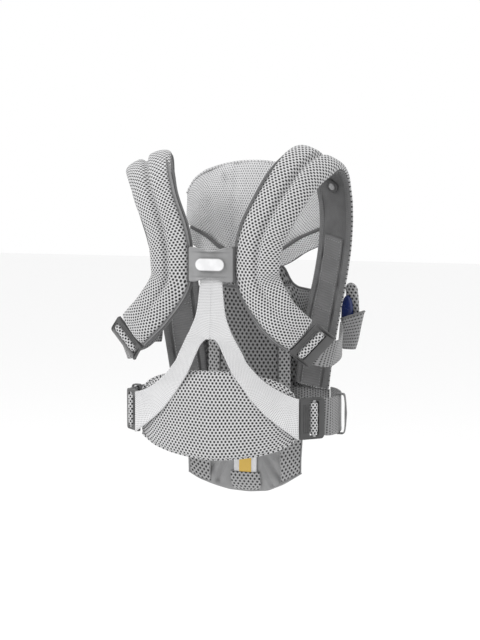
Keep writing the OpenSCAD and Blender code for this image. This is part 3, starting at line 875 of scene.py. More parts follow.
def back_plate():
    xs = np.linspace(-PLATE_W / 2 + 1.5, PLATE_W / 2 - 1.5, 31)
    top = [(x, plate_edges(x)) for x in xs]
    bottom = [(x, -plate_edges(x)) for x in xs]
    corner = 2.5

    def place(points):
        """Bends the plate round the strap edges at its two sides."""
        x, z, depth = points.T
        bend = 4.2 * ramp(np.abs(x), 20, 32) ** 2
        ridge = 0.35 * np.exp(-((np.abs(z) - 13.5) / 0.8) ** 2) * (depth > 0) * (np.abs(x) < 26)
        return np.stack([PLATE_MID[0] + x, PLATE_MID[1] - depth + bend - ridge,
                         PLATE_MID[2] + z], axis=1)

    half = PLATE_W / 2 - 0.2
    end = plate_edges(half) - corner
    outline = bottom + [(half, -end), (half, end)] + top[::-1] + [(-half, end), (-half, -end)]
    plate = flat_plate("yoke_plate", dense(outline, 2.0), [], PLATE_T, 1.1, "plate_grey", place)
    body_piece(plate, "harness", "moulded_grey", "back_plate")
    yoke_ends()
    badge()


def dense(loop, step):
    """The same outline with a point at least every step."""
    out = []
    for a, b in zip(loop, loop[1:] + loop[:1]):
        a, b = np.array(a), np.array(b)
        n = max(1, int(math.ceil(np.linalg.norm(b - a) / step)))
        out += [tuple(a + (b - a) * k / n) for k in range(n)]
    return out


def yoke_ends():
    """Rounded edges where the plate turns in beside each pad, drawn in the dark frame colour as
    painted shade of the turn.
    """
    for name, side in SIDES.items():
        z = np.linspace(-PLATE_H / 2 - 1, PLATE_H / 2 + 1, 25)
        x = 32.6 - 1.2 * np.cos(z / PLATE_H * math.pi)
        y = np.full_like(z, PLATE_MID[1] + 4.6)
        line = np.stack([x, y, PLATE_MID[2] + z], axis=1)
        # painted shade: the turned edge is drawn dark instead of in the plate's grey
        cord(f"{name}_plate_edge", line, 2.5, "frame_dark", "moulded_dark", side)


def badge():
    low, high = cad_box("badge")
    middle = (low + high) / 2
    wide, _, tall = high - low
    radius = tall / 2
    outline = rounded_box(wide, tall, [radius - 0.01] * 4, 14)
    face = low[1]

    def place(points):
        x, z, depth = points.T
        dome = 0.25 * (1 - (x / wide) ** 2 * 3)
        return np.stack([middle[0] + x, face + 0.6 - depth - dome * (depth > 0), middle[2] + z],
                        axis=1)

    piece = flat_plate("blank_badge", dense(outline, 1.2), [], 1.5, 0.5, "badge", place)
    body_piece(piece, "harness", "badge_white", "badge")
    rim = np.array([(middle[0] + x * 1.012, face + 0.5, middle[2] + z * 1.03)
                    for x, z in outline])
    cord("badge_rim", rim, 0.55, "steel", "steel", sides=8, closed=True)


back_plate()


# ---- Waist ------------------------------------------------------------------

LUMBAR_HALF = 109
LUMBAR_OUTER = 61  # points up the pad's outer face, seam to seam


def waist_y(x):
    """Depth of the wearer's side of the lumbar pad."""
    return -75 * np.sqrt(1 - (x / 152) ** 2)


def lumbar_top(x):
    return np.interp(np.abs(x), [0, 34, 60, 84, 98, 109], [66, 66, 62, 55, 48, 36])


def lumbar_bottom(x):
    return np.interp(np.abs(x), [0, 34, 64, 90, 109], [-54, -51, -46, -38.5, -27])


def lumbar_middle(x):
    return 10 * (1 - 0.7 * (np.abs(x) / LUMBAR_HALF) ** 3)


def lumbar_pad():
    """Padded cover: a closed shell round the pad's outline, swollen and tucked in at its seam."""
    xs = np.sin(np.linspace(-1, 1, 121) * math.radians(78))
    xs = xs / xs[-1] * LUMBAR_HALF
    top, bottom = smooth_curve(lumbar_top(xs)), smooth_curve(lumbar_bottom(xs))
    back = np.sin(np.linspace(-1, 1, LUMBAR_OUTER) * math.radians(84))
    back = back / back[-1]
    near = np.linspace(1, -1, 21)[1:-1]
    grid = []
    for x, z0, z1 in zip(xs, bottom, top):
        centre, half = (z0 + z1) / 2, (z1 - z0) / 2
        thick = lumbar_middle(x) - 0.6
        crown = thick * (0.30 + 0.70 * np.sqrt(1 - np.abs(back) ** 5))
        crown *= 1 - 0.06 * np.cos(back * math.pi * 3)
        outer = [(x, waist_y(x) - c, centre + half * k) for c, k in zip(crown, back)]
        inner = [(x, waist_y(x), centre + half * k) for k in near]
        grid.append(outer + inner)
    grid = np.array(grid)
    grid = ripple(grid, 1.0, 30.0, seed=2.0, direction=FORWARD)
    pad = shell("lumbar_cushion", grid, "light_mesh", turned=True)
    held = np.zeros(grid.shape[:2])
    held[:, LUMBAR_OUTER:] = 1
    held[:, :2] = held[:, LUMBAR_OUTER - 2:LUMBAR_OUTER] = 1
    held[:3] = held[-3:] = 1
    inflate(pad, 2.5, 2.4, held.ravel())
    body_piece(pad, "harness", "light_mesh", "lumbar_pad")
    edge_top = np.stack([xs, waist_y(xs) - 2.4, top + 0.3], axis=1)
    edge_bottom = np.stack([xs, waist_y(xs) - 2.4, bottom - 0.3], axis=1)
    loop = np.concatenate([edge_top, edge_bottom[::-1]])
    cord("lumbar_edge_roll", loop, 1.5, "light_mesh", "light_mesh", sides=10, closed=True)
    lining = []
    for x, z0, z1 in zip(xs, bottom, top):
        x = x * 0.965
        ks = np.linspace(0, 1, 25)
        near_face = waist_y(x) + 3.4 + 0.5 * np.sin(ks * math.pi) ** 0.5
        z = z0 + 3 + (z1 - z0 - 6) * ks
        ring = [(x, y, h) for y, h in zip(near_face, z)]
        ring += [(x, waist_y(x) + 1.9, h) for h in z[::-1]]
        lining.append(ring)
    lining = ripple(np.array(lining), 0.9, 24.0, seed=4.0, direction=np.array([0.0, 0.5, 0.0]))
    piece = shell("lumbar_inner_cloth", lining, "lining")
    body_piece(piece, "harness", "woven_lining", "lumbar_lining")
    return pad


def smooth_curve(values, passes=14):
    """Softens the corners of a list of values, keeping its ends."""
    values = np.array(values, float)
    for _ in range(passes):
        values[1:-1] = (values[:-2] + 2 * values[1:-1] + values[2:]) / 4
    return values


def tape_y(x):
    return waist_y(x) - lumbar_middle(x) - 1.8


# Rows: a point on the arm's upper edge, then a point on its lower edge.
Y_ARM_ROWS = [
    [14, -79, 198, 0, -79, 198],
    [19, -83, 150, 0, -83, 150],
    [27, -85, 126, 0, -85, 116],
    [33, -86, 114, 7, -86, 112.5],
    [44, tape_y(44), 93, 14, -87.5, 105],
    [52, tape_y(52), 78, 20.5, -88, 92],
    [74, tape_y(74), 54, 38, tape_y(38), 58],
    [100, tape_y(100), 37, 74, tape_y(74), 12],
    [118, -61, 31, 118, -61, -23],
]


def y_tape(pad):
    """The ribbed tape: one Y whose arms lie over the lumbar pad."""
    rows = spline(Y_ARM_ROWS, 14)
    upper, lower = rows[:, :3], rows[:, 3:]
    lower[:, 0] = np.maximum(lower[:, 0], 0)
    crotch = np.argmax(lower[:, 0] > 0.5)
    ks = np.linspace(0, 1, 25)
    tree = surface_of(pad)
    half_t = 0.9
    arm = lower[:, None] + (upper - lower)[:, None] * ks[None, :, None]
    for i in range(arm.shape[0]):
        for j in range(arm.shape[1]):
            x, y, z = arm[i, j]
            spot = tree.ray_cast(Vector((x, -140, z)), Vector((0, 1, 0)))[0]
            if spot is not None:
                arm[i, j, 1] = min(y, spot.y - 1.6)
    for _ in range(10):
        arm[1:-1, :, 1] = (arm[:-2, :, 1] + 2 * arm[1:-1, :, 1] + arm[2:, :, 1]) / 4
        arm[:, 1:-1, 1] = (arm[:, :-2, 1] + 2 * arm[:, 1:-1, 1] + arm[:, 2:, 1]) / 4
    along = lengths((upper + lower) / 2)
    crease = np.exp(-((along - along[-1] + 16) / 1.8) ** 2)
    arm[:, :, 1] -= 1.1 * crease[:, None] * (0.4 + 0.6 * np.sin(ks * math.pi))[None]
    arm = ripple(arm, 1.3, 34.0, seed=6.0, direction=FORWARD)
    hem = 0.35 * np.exp(-((np.minimum(ks, 1 - ks) - 0.05) / 0.03) ** 2)
    front = arm.copy()
    front[:, :, 1] -= half_t + hem[None]
    back = arm[:, ::-1].copy()
    back[:, :, 1] += half_t
    ring = np.concatenate([front, back], axis=1)
    for name, side in SIDES.items():
        piece = shell(f"{name}_y_tape", ring, "ribbed", side,
                     across=there_and_back(ks) * 42, along=along)
        nodes = ("y_strap",) if side > 0 else ()
        body_piece(piece, "harness", "ribbed_tape", *nodes)
        for number, line in enumerate((arm[crotch:, 0], arm[:, -1])):
            cord(f"{name}_y_hem_{number}", line, 1.15, "ribbed", "ribbed_tape", side, sides=10)


y_tape(lumbar_pad())


# ---- Adjusters --------------------------------------------------------------

WAIST_SPOT = cad_centre("right_waist_bar")
WAIST_ALONG = unit(np.array([0.72, 0.69, 0.0]))
WAIST_ACROSS = np.array([0.0, 0.0, 1.0])
WAIST_OUT = np.cross(WAIST_ALONG, WAIST_ACROSS)
SHOULDER_SPOT = right_bar
FRAME_T = 5
SLEEVE_R = 5.4
WINDOW_HALF = 6.8


def at_adjuster(spot, along, across, out, side):
    """Turns (along, across, out) points of an adjuster to millimetres on the given side."""
    def place(points):
        placed = (spot + points[:, :1] * along + points[:, 1:2] * across + points[:, 2:] * out)
        placed[:, 0] *= side
        return placed
    return place


def adjuster(name, side, wide, inner, bend, spot, along, across, out):
    """Moulded frame with its grip ribs, and the mesh sleeve that comes round the bar."""
    body = f"{name}_adjuster"
    outline = [(x + FRAME_LEN / 2 - inner, y)
               for x, y in rounded_box(FRAME_LEN, wide, [2, 6, 6, 2])]
    window = rounded_box(2 * WINDOW_HALF, wide - 10, [1.5] * 4, 4)
    place = at_adjuster(spot, along, across, out, side)

    def dished(points):
        """The frame's outer end curves towards the wearer."""
        points = points.copy()
        points[:, 2] -= bend * ramp(points[:, 0], 6, FRAME_LEN - inner) ** 2
        return place(points)

    piece = flat_plate(f"{name}_adjuster_frame", dense(outline, 2.0), [dense(window[::-1], 2.0)],
                       FRAME_T, 1.0, "frame_dark", dished)
    body_piece(piece, body, "moulded_dark", f"{name}_frame")
    for k, reach in enumerate(np.arange(9.4, inner - 3, 3.3)):
        bar = [(-reach, y, FRAME_T / 2) for y in np.linspace(-wide / 2 + 9, wide / 2 - 9, 9)]
        cord(f"{name}_grip_rib_{k}", place(np.array(bar)), 0.75, "frame_dark", "moulded_dark",
             body=body, sides=8)
    sleeve_wide = wide - 14
    turn = np.linspace(0, 2 * math.pi, 33)[:-1]
    ends = np.linspace(-1, 1, 25)
    rings = []
    for k in ends:
        swell = 0.25 * math.sin(k * 9) - 0.9 * abs(k) ** 10
        ring = np.stack([(SLEEVE_R + 0.3 + swell) * np.cos(turn),
                         np.full_like(turn, k * sleeve_wide / 2),
                         (SLEEVE_R + 0.3 + swell) * np.sin(turn)], axis=1)
        rings.append(place(ring))
    sleeve = loft(f"{name}_bar_sleeve", np.array(rings), "light_mesh", closed=True)
    body_piece(sleeve, "harness", "mesh_webbing")


def webbing(name, rows, thick, side, node, per_span=12):
    """Flat webbing with thickened hems, along control rows that end in its half width."""
    path = Path(rows, per_span)
    x = np.linspace(-1, 1, 21)
    hem = 0.35 * np.exp(-((np.abs(x) - 0.93) / 0.05) ** 2)
    face = thick / 2 + hem
    u = there_and_back(x)[None] * path.half[:, None]
    v = np.concatenate([face, -face])[None] * np.ones((len(path.at), 1))
    grid = path.beside(u, v)
    grid = ripple(grid, 0.5, 20.0, seed=side * 2.0, direction=path.out[:, None])
    piece = shell(name, grid, "webbing_mesh", side,
                  across=there_and_back(x) * path.half.mean(), along=path.along)
    body_piece(piece, "harness", "mesh_webbing", node)


def tail_of(spot, along, out, inner, bend):
    """Where the webbing comes out from under a frame's bent end."""
    return spot + along * (FRAME_LEN - inner + 1.6) - out * (SLEEVE_R - 1 + bend)


def loosened(rows, side, shares):
    """The rows as an array; on the left a share of 9 mm closer to the wearer."""
    rows = np.array(rows, float)
    if side < 0:
        rows[:, 0] -= 9 * np.array(shares)
    return rows


WAIST_BEND = 2.0
SHOULDER_BEND = 7.0
THIRD = 1 / 3


def waist_side(name, side):
    adjuster(f"{name}_waist", side, WAIST_FRAME_W, WAIST_INNER, WAIST_BEND, WAIST_SPOT,
             WAIST_ALONG, WAIST_ACROSS, WAIST_OUT)
    start = tail_of(WAIST_SPOT, WAIST_ALONG, WAIST_OUT, WAIST_INNER, WAIST_BEND)
    inner = WAIST_SPOT - WAIST_OUT * (SLEEVE_R - 0.6)
    rows = [[*inner, 0, 0, 1, 22],
            [*(start - WAIST_ALONG * 8), 0, 0, 1, 23.5],
            [*start, 0, 0, 1, 25.5],
            [149, -10, 3, 0, 0, 1, 26],
            [153, 18, 3, 0, 0, 1, 26],
            [147, 48, 3, 0, 0, 1, 26],
            [133, 77, 3, 0, 0, 1, 26],
            [122, 89, 3, 0, 0, 1, 26]]
    webbing(f"{name}_belt_webbing", loosened(rows, side, [0, 0, 0, THIRD, 1, 1, THIRD, 0]), 2.2,
            side, f"{name}_waist_webbing")
    keeper(name, side)


def keeper(name, side):
    """Elastic ring round the belt, with its outer leg bowed out."""
    middle = on_right(f"{name}_keeper", side)
    turn = math.radians(92)
    across = np.array([math.cos(turn), math.sin(turn), 0])
    away = np.array([math.sin(turn), -math.cos(turn), 0])
    half_in, half_out, half_high = 8.2, 4.8, 27.6
    angle = np.linspace(0, 2 * math.pi, 49)[:-1]
    power = 0.32
    reach = np.where(np.cos(angle) > 0, half_out, half_in)
    u = np.sign(np.cos(angle)) * np.abs(np.cos(angle)) ** power * reach
    w = np.sign(np.sin(angle)) * np.abs(np.sin(angle)) ** power * half_high
    u = u + np.where(u > 0, 1.6 * (1 - (w / half_high) ** 2), 0)
    ring = middle + u[:, None] * away + w[:, None] * WAIST_ACROSS
    grid = []
    for offset, half_t in ((-4.6, 0.45), (-4.1, 0.9), (0, 1.0), (4.1, 0.9), (4.6, 0.45)):
        centre = ring + across * offset
        outward = unit(ring - middle)
        grid.append((centre + outward * half_t, centre - outward * half_t))
    outer = [g[0] for g in grid]
    inner = [g[1] for g in grid][::-1]
    rows = np.array(outer + inner + [outer[0]])
    piece = loft(f"{name}_elastic_keeper", rows, "webbing", side, closed=True)
    bm_clean(piece)
    body_piece(piece, f"{name}_keeper_loop", "elastic", f"{name}_keeper")


def shoulder_side(name, side):
    adjuster(f"{name}_shoulder", side, SHOULDER_FRAME_W, SHOULDER_INNER, SHOULDER_BEND,
             SHOULDER_SPOT, SHOULDER_ALONG, SHOULDER_ACROSS, SHOULDER_OUT)
    start = tail_of(SHOULDER_SPOT, SHOULDER_ALONG, SHOULDER_OUT, SHOULDER_INNER, SHOULDER_BEND)
    inner = SHOULDER_SPOT - SHOULDER_OUT * (SLEEVE_R - 0.6)
    rows = [[*inner, *SHOULDER_ACROSS, 20],
            [*(start - SHOULDER_ALONG * 10 + SHOULDER_OUT * 4), *SHOULDER_ACROSS, 21],
            [*start, *SHOULDER_ACROSS, 20.5],
            [155, -18, 91, 0.35, 0.05, 0.93, 19],
            [156, 10, 96, 0.12, -0.02, 0.99, 18.5],
            [150, 42, 100, 0.05, -0.02, 1, 19],
            [140, 68, 108, 0.05, 0, 1, 18]]
    webbing(f"{name}_shoulder_web", loosened(rows, side, [0, 0, 0, THIRD, 1, 1, THIRD]), 2.0,
            side, f"{name}_shoulder_webbing")


for belt_name, belt_side in SIDES.items():
    waist_side(belt_name, belt_side)
    shoulder_side(belt_name, belt_side)

FRONT_BELT_ROWS = [[x, y, 3, 0, 0, 1, 22] for x, y in ((-119, 92), (-80, 102), (0, 104),
                                                      (80, 102), (119, 92))]
webbing("front_belt_webbing", FRONT_BELT_ROWS, 2.2, 1, "front_belt")


# ---- Front ------------------------------------------------------------------

def shell_between(xs, bottom, top, rows, near, far):
    """Rings of a thin closed sheet: for each x, up its near face and down its far face."""
    ks = np.linspace(0, 1, rows)
    grid = []
    for x, z0, z1 in zip(xs, bottom, top):
        z = z0 + (z1 - z0) * ks
        face = [(x, near(x, h, k), h) for h, k in zip(z, ks)]
        back = [(x, far(x, h, k), h) for h, k in zip(z, ks)]
        grid.append(face + back[::-1])
    return np.array(grid)


def far_face(obj, material):
    """Gives the faces that look forward, away from the wearer, their own material."""
    obj.data.materials.append(MATERIALS[material])
    for face in obj.data.polygons:
        if face.normal.y > 0.2:
            face.material_index = 1


def inner_panel():
    """Open mesh between the front straps, with a strip outside each seam for the real side panels; the
    strips' lighter mesh is painted light, for the light that falls on the side panels.
    """
    seam = 44

    def near(x, z, _=0):
        return 84 + 0.0012 * x * x + 0.8 * math.sin(z / 31 + x / 40)

    def part(name, x0, x1, material):
        xs = np.linspace(x0, x1, 25)
        grid = shell_between(xs, np.full(25, -18.0), 168 + 0.0012 * xs ** 2, 41, near,
                             lambda x, z, k: near(x, z) + 2)
        obj = shell(name, grid, material, turned=True)
        return obj

    main = part("inner_mesh_panel", -seam, seam, "dark_mesh")
    body_piece(main, "harness", "dark_mesh", "inner_panel")
    for name, side in SIDES.items():
        # painted light: the side strips take the lighter trim mesh in place of the light that falls on
        # them
        strip = part(f"{name}_inner_mesh_strip", *sorted((side * seam, side * 62)), "trim_mesh")
        body_piece(strip, "harness", "light_mesh")
        z = np.linspace(-17, 169, 60)
        line = np.array([(seam, near(seam, h) - 0.3, h) for h in z])
        cord(f"{name}_inner_seam", line, 0.9, "piping", "piping", side, sides=8)
    xs = np.linspace(-62, 62, 50)
    hem = np.array([(x, near(x, 168) + 1, 168.5 + 0.0012 * x * x) for x in xs])
    cord("inner_panel_hem", hem, 1.8, "piping", "piping")


PANEL_HALF = 116
PANEL_DEPTHS = ([-122, -100, -60, 0, 60, 110, 160, 200], [86, 96, 108, 120, 126, 122, 117, 106])


def panel_y(x, z):
    return np.interp(z, *PANEL_DEPTHS) - 0.0009 * x * x


def panel_bottom(x):
    return np.interp(np.abs(x), [0, 20, 40, 54, 64, 72, 84, 100, 116],
                     [-120, -119, -112, -100, -84, -60, 0, 60, 100])


def panel_top(x):
    return np.interp(np.abs(x), [0, 36, 47, 51, 57, 66, 84, 116],
                     [190, 196, 199, 186, 174, 168, 165, 160])


def front_panel():
    xs = np.linspace(-PANEL_HALF, PANEL_HALF, 117)
    bottom = smooth_curve(panel_bottom(xs), 6)
    top = smooth_curve(panel_top(xs), 3)

    def swell(x, k):
        """Padding of the panel's middle, thin at its edges."""
        return 2.6 * (1 - (abs(x) / PANEL_HALF) ** 4) * (1 - (2 * k - 1) ** 8)

    def near(x, z, _):
        return panel_y(x, z) + 0.6

    def far(x, z, k):
        quilt = 1 - 0.5 * math.exp(-((abs(x) - 40) / 2.5) ** 2)
        return panel_y(x, z) + 1.4 + swell(x, k) * quilt

    grid = shell_between(xs, bottom, top, 71, near, far)
    grid = ripple(grid, 1.1, 40.0, seed=11.0, direction=FORWARD)
    panel = shell("front_panel_cover", grid, "trim_mesh", turned=True)
    far_face(panel, "light_mesh")
    body_piece(panel, "harness", "light_mesh", "front_panel")
    edge = np.concatenate([np.stack([xs, panel_y(xs, top) + 1.6, top], axis=1),
                           np.stack([xs, panel_y(xs, bottom) + 1.6, bottom], axis=1)[::-1]])
    cord("front_panel_binding", edge, 1.7, "piping", "piping", sides=10, closed=True)


def head_y(x, z):
    return 94 + 0.0016 * x * x + (z - 210) * 0.14


NECK_LINE = [[-102, 241], [-76, 229], [-50, 212], [-20, 203], [0, 201],
             [20, 203], [50, 212], [76, 229], [102, 241]]


def neck_band():
    """Curved band between the head support and the arm openings, piped on both edges."""
    line = spline(NECK_LINE, 10)
    rows = [[x, head_y(x, z) + 1, z, 0, 0, 1, 10] for x, z in line]
    path = Path(rows, 1)
    x = np.linspace(-1, 1, 15)
    u = there_and_back(x)[None] * path.half[:, None]
    v = np.repeat([1.5, -1.5], len(x))[None] * np.ones((len(path.at), 1))
    grid = ripple(path.beside(u, v), 0.5, 18.0, seed=9.0, direction=path.out[:, None])
    band = shell("neck_band_cover", grid, "head_mesh")
    body_piece(band, "harness", "light_mesh", "neck_band")
    for label, edge, radius in (("lower", -9.6, 1.5), ("upper", 12.2, 2.5)):
        line = path.beside(np.full((len(path.at), 1), edge), np.zeros((len(path.at), 1)))[:, 0]
        cord(f"neck_piping_{label}", line, radius, "piping", "piping", sides=10)


HEAD_HALF = 107
HEAD_ROWS = 61  # points up each face of the head support


def seam_z(x):
    return np.interp(np.abs(x), [0, 20, 50, 76, 104], [215, 217, 227, 244, 256])


def head_top(x):
    return np.interp(np.abs(x), [0, 24, 54, 78, 96, 107], [348, 347, 341, 333, 320, 300])


def head_support():
    """Padded head support: fine mesh cover, soft vertical folds and a rolled top edge."""
    xs = np.sin(np.linspace(-1, 1, 105) * math.radians(75))
    xs = xs / xs[-1] * HEAD_HALF
    bottom = smooth_curve(seam_z(xs), 10)
    top = smooth_curve(head_top(xs), 16)

    def thick(x, k):
        side = 1 - (abs(x) / 104) ** 6
        return 0.8 + 3.1 * math.sqrt(max(0, 1 - (2 * k - 1) ** 6)) * side

    def fold(x, z, k):
        low = 1 - k
        crease = 3.4 * math.exp(-((x - 26 + 10 * low) / 5) ** 2) * low
        crease += 4.2 * math.exp(-((x + 26 + 4 * low) / 5) ** 2) * (0.35 + 0.65 * low)
        crease += 7.0 * math.exp(-((x + 62 + 8 * k) / 15) ** 2) * (0.4 + 0.6 * low)
        crease += 2.8 * math.exp(-((x - 62) / 9) ** 2) * (0.3 + 0.7 * low)
        pucker = 4.5 * math.exp(-((x + 42 + (z - 322) / 3) / 4) ** 2 - ((z - 322) / 11) ** 2)
        return crease + pucker

    grid = shell_between(xs, bottom, top, HEAD_ROWS,
                         lambda x, z, k: head_y(x, z) - thick(x, k) + fold(x, z, k),
                         lambda x, z, k: head_y(x, z) + thick(x, k) + 0.4 * fold(x, z, k))
    grid = ripple(grid, 1.5, 26.0, seed=15.0, direction=FORWARD)
    cover = shell("head_support_cover", grid, "head_mesh", turned=True)
    held = np.zeros(grid.shape[:2])
    held[:, :2] = held[:, HEAD_ROWS - 2:HEAD_ROWS + 2] = held[:, -2:] = 1
    held[:2] = held[-2:] = 1
    inflate(cover, 1.6, 1.6, held.ravel())
    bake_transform(cover)
    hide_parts("head_support")
    rim = np.stack([xs, head_y(xs, top), top + 0.4], axis=1)
    cord("head_support_rim", rim, 2.1, "head_mesh", "light_mesh", body="head")


inner_panel()
front_panel()
neck_band()
head_support()


# ---- Seat and size strap ----------------------------------------------------

SEAT_TOP = -26
FOLD_DEPTH = 2.2  # how much deeper the folds are than their table says
SEAT_FOLDS = (((-24, -62), (-44, -112), 2.8, 4.0),
              ((-30, -64), (-58, -98), 1.6, 5.0),
              ((26, -66), (52, -106), 2.6, 4.0),
              ((24, -84), (38, -116), 1.8, 3.5),
              ((32, -60), (66, -88), 1.5, 5.0))  # start, end, depth and width


def seat_y(x, z):
    bend = np.where(np.asarray(z) < -90, 0.0085, 0.0035)
    return 72 + bend * (z + 90) ** 2 - 0.0006 * x * x


def seat_bottom(x):
    return np.interp(x, [-86, -71, -49, -28, 0, 30, 56, 84],
                     [-100, -110, -119, -125, -127, -124, -112, -94])


def seat_fold(x, z):
    """Soft creases that run from beside the size strap out to the seat's corners."""
    depth = 0
    for start, end, size, wide in SEAT_FOLDS:
        start, end = np.array(start, float), np.array(end, float)
        run = end - start
        t = np.clip(((x - start[0]) * run[0] + (z - start[1]) * run[1]) / (run @ run), 0, 1)
        off = np.hypot(x - start[0] - run[0] * t, z - start[1] - run[1] * t)
        depth = depth + size * np.exp(-(off / wide) ** 2) * (0.4 + 0.6 * t)
    return depth


def seat():
    xs = np.linspace(-86, 84, 111)
    bottom = smooth_curve(seat_bottom(xs), 8)
    grid = shell_between(xs, bottom, np.full(len(xs), SEAT_TOP), 61,
                         lambda x, z, k: float(seat_y(x, z) + FOLD_DEPTH * seat_fold(x, z)),
                         lambda x, z, k: float(seat_y(x, z) + 2.4
                                               + FOLD_DEPTH * seat_fold(x, z)))
    grid = ripple(grid, 1.2, 17.0, seed=21.0, direction=FORWARD)
    cloth = shell("seat_lining", grid, "smooth_lining", turned=True)
    body_piece(cloth, "harness", "smooth_lining", "seat_panel")
    hem = np.stack([xs, seat_y(xs, bottom) + 1.2, bottom], axis=1)
    cord("seat_hem", hem, 1.7, "smooth_lining", "smooth_lining")
    for name, side in SIDES.items():
        ks = np.linspace(0, 1, 41)
        grid = []
        for t in np.linspace(0, 1, 21):
            column = []
            for k in ks:
                z = -30 + (float(seat_bottom(side * (58 + 24 * t))) + 1.5 + 30) * k
                x = 50 + 4 * k + (82.4 - 50 - 4 * k) * t
                column.append((x, float(seat_y(x, z)) - 1.6 - 0.8 * math.sin(math.pi * t), z))
            back = [(x, y + 1.4, z) for x, y, z in column[::-1]]
            grid.append(column + back)
        trim = shell(f"{name}_seat_trim", np.array(grid), "trim_mesh", side, turned=True)
        body_piece(trim, "harness", "light_mesh")
        edge = np.array([(50 + 4 * k, float(seat_y(52, -30 - 76 * k)) - 1.2, -30 - 76 * k)
                         for k in ks])
        cord(f"{name}_seat_trim_seam", edge, 0.9, "smooth_lining", "smooth_lining", side, sides=8)


def seat_strip(name, wide, z0, z1, near, thick, material, corner=0.0, puff=0.0):
    """A strip bent to the seat's middle profile, with rounded lower corners."""
    zs = np.linspace(z0, z1, 33)
    ks = np.linspace(-1, 1, 21)
    grid = []
    for z in zs:
        from_end = z - z0
        half = wide / 2
        if corner and from_end < corner:
            half -= corner - math.sqrt(corner ** 2 - (corner - from_end) ** 2)
        lift = puff * math.sin(math.pi * min(1, (z - z0) / (z1 - z0))) ** 0.5
        y = float(seat_y(0, z)) - near
        front = [(k * half, y - thick - lift * (1 - k ** 4), z) for k in ks]
        back = [(k * half, y, z) for k in ks[::-1]]
        grid.append(front + back)
    return shell(name, np.array(grid), material)


def size_strap():
    low, high = -97.5, -58
    label = seat_strip("size_label_tape", 34, low, high, 1.8, 0.8, "label")
    body_piece(label, "size_strap", "label_white", "size_label")
    scale = seat_strip("size_scale_tape", 18, low, high, 2.8, 0.5, "scale")
    body_piece(scale, "size_strap", "label_yellow", "size_scale")
    tab = seat_strip("size_mesh_tab", 44, -125, -97, 1.8, 2.0, "trim_mesh", corner=9, puff=2.2)
    body_piece(tab, "size_strap", "mesh_webbing", "size_tab")


seat()
size_strap()


# ---- Side buckles -----------------------------------------------------------

POCKET_TURN = math.radians(-15)


def oval_ring(centre, long, wide, z, count=40):
    """A ring with two round ends, turned with the pocket."""
    angle = circle(count)
    x = wide / 2 * np.cos(angle) + (long - wide) / 2 * np.tanh(np.cos(angle) * 4)
    y = wide / 2 * np.sin(angle)
    turned = np.stack([x * math.cos(POCKET_TURN) - y * math.sin(POCKET_TURN),
                       x * math.sin(POCKET_TURN) + y * math.cos(POCKET_TURN)], axis=1)
    return np.column_stack([turned + centre[:2], np.full(count, z)])


POCKET_LEAN = 5  # how far the pocket's lower end lies nearer the wearer
RIM_SLOPE = 0.34  # the pocket's rim climbs away from the wearer


def pocket_ring(centre, long, wide, z, k):
    """Ring of the pocket at a share k of its height, leaning and with a sloped rim."""
    ring = oval_ring(centre, long, wide, z)
    ring[:, 0] -= POCKET_LEAN * (1 - k)
    ring[:, 2] += RIM_SLOPE * k * (ring[:, 0] - centre[0])
    return ring


def buckle_pocket(name, side):
    centre = on_right(f"{name}_side_pocket", side)
    low, high = (corner[2] for corner in cad_box(f"{name}_side_pocket"))
    low -= 6
    outer, inner = [], []
    for k in np.linspace(0, 1, 25):
        z = low + (high - low) * k
        taper = 0.58 + 0.46 * k ** 0.8
        flare = 0.6 * math.sin(k * 7)
        outer.append(pocket_ring(centre, 34 * taper + flare, 20 * taper + flare, z, k))
        inner.append(pocket_ring(centre, 34 * taper - 4, 20 * taper - 4, z, k))
    floor = [pocket_ring(centre, 19.7 * s, 11.6 * s, low + 0.2, 0) for s in (0.03, 0.5, 0.9)]
    top = [pocket_ring(centre, 33.6, 19, high + 0.8, 1)]
    grid = np.array(floor + outer + top + inner[::-1][:-1])
    pocket = loft(f"{name}_buckle_pocket", grid, "webbing_mesh", side, closed=True)
    body_piece(pocket, "harness", "mesh_webbing", f"{name}_side_pocket")
    rim = pocket_ring(centre, 34.4, 19.8, high + 0.3, 1)
    cord(f"{name}_pocket_rim", rim, 1.6, "webbing", "mesh_webbing", side, sides=10, closed=True)


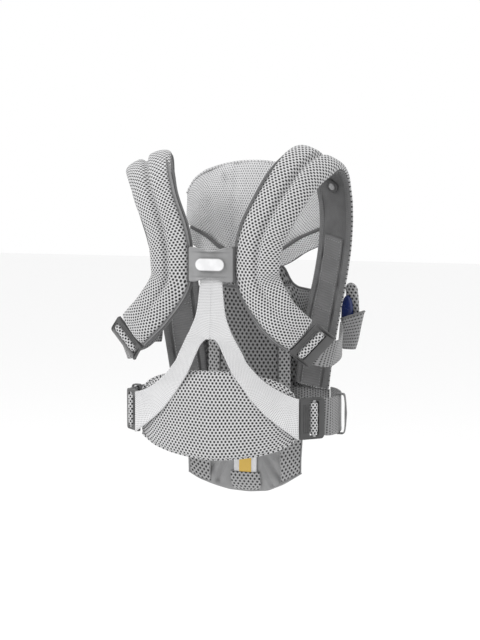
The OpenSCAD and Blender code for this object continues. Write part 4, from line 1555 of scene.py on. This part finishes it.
def buckle_tongue(name, side):
    """Wide glossy tongue with round shoulders, and the mesh tab sewn round its top."""
    middle = on_right(f"{name}_side_tongue", side) - np.array([2, 0, 0])
    low, high = (corner[2] for corner in cad_box(f"{name}_side_tongue"))
    rings = []
    for k in np.linspace(0, 1, 31):
        shoulder = math.sqrt(max(0.03, 1 - max(0, (k - 0.45) / 0.55) ** 2.6))
        tip = min(1, 0.55 + 6 * k)
        rings.append(oval_ring(middle, 19 * shoulder * tip, 8 * (0.5 + 0.5 * shoulder) * tip,
                               low + (high - low) * k))
    tongue = shell(f"{name}_buckle_tongue", np.array(rings), "blue", side)
    body_piece(tongue, f"{name}_side_latch", "blue_plastic", f"{name}_side_tongue")
    middle = on_right(f"{name}_side_tab", side)
    bottom, top = high - 30, cad_box(f"{name}_side_tab")[1][2]
    rings = []
    for k in np.linspace(0, 1, 41):
        round_top = math.sqrt(max(0.02, 1 - max(0, (k - 0.75) / 0.25) ** 2.4))
        spot = middle + np.array([2.5 * (1 - k), 5.5 * min(1, 2 * (1 - k)), 0])
        rings.append(oval_ring(spot, 19 * round_top, (5 + 5 * k) * round_top,
                               bottom + (top - bottom) * k))
    tab = shell(f"{name}_pull_tab", np.array(rings), "trim_mesh", side)
    body_piece(tab, f"{name}_side_latch", "mesh_webbing", f"{name}_side_tab")


for buckle_name, buckle_side in SIDES.items():
    buckle_pocket(buckle_name, buckle_side)
    buckle_tongue(buckle_name, buckle_side)


# ---- The left strap sits lower ----------------------------------------------

def settle(obj):
    """Lowers a left strap piece at the shoulder and draws its outer edge to the neck."""
    mesh = obj.data
    at = np.empty(len(mesh.vertices) * 3)
    mesh.vertices.foreach_get("co", at)
    at = at.reshape(-1, 3) / MM
    rise = ramp(at[:, 2], 230, 320)
    at[:, 2] -= 7 * rise * rise * (3 - 2 * rise)
    x, y, z = at.T
    beside_neck = ramp(z, 150, 200) * ramp(z, 330, 270)
    x += 6 * ramp(y, 10, -40) * beside_neck * ramp(x, -60, -100)
    x += 10 * (ramp(y, 20, 60) * ramp(z, 335, 275) * ramp(z, 100, 180))
    mesh.vertices.foreach_set("co", (at * MM).ravel())
    mesh.update()


for part in ("padded_strap", "strap_lining_cloth", "lining_binding_outer", "lining_binding_inner",
             "side_wall_tape", "piping", "pad_seam", "snap_ring", "snap_cup", "chest_webbing",
             "chest_stitching"):
    settle(bpy.data.objects[f"left_{part}"])


# ---- CAD parts that stay as they are ------------------------------------------

KEPT = {"plate_backing": "frame_dark", "plate_screws": "steel", "lumbar_stiffener": "frame_dark"}
KEPT.update({f"{side}_{place}_bar": "steel" for side in SIDES for place in ("waist", "shoulder")})
for node, material in KEPT.items():
    part = bpy.data.objects[node]
    part.data.materials.clear()
    part.data.materials.append(MATERIALS[material])
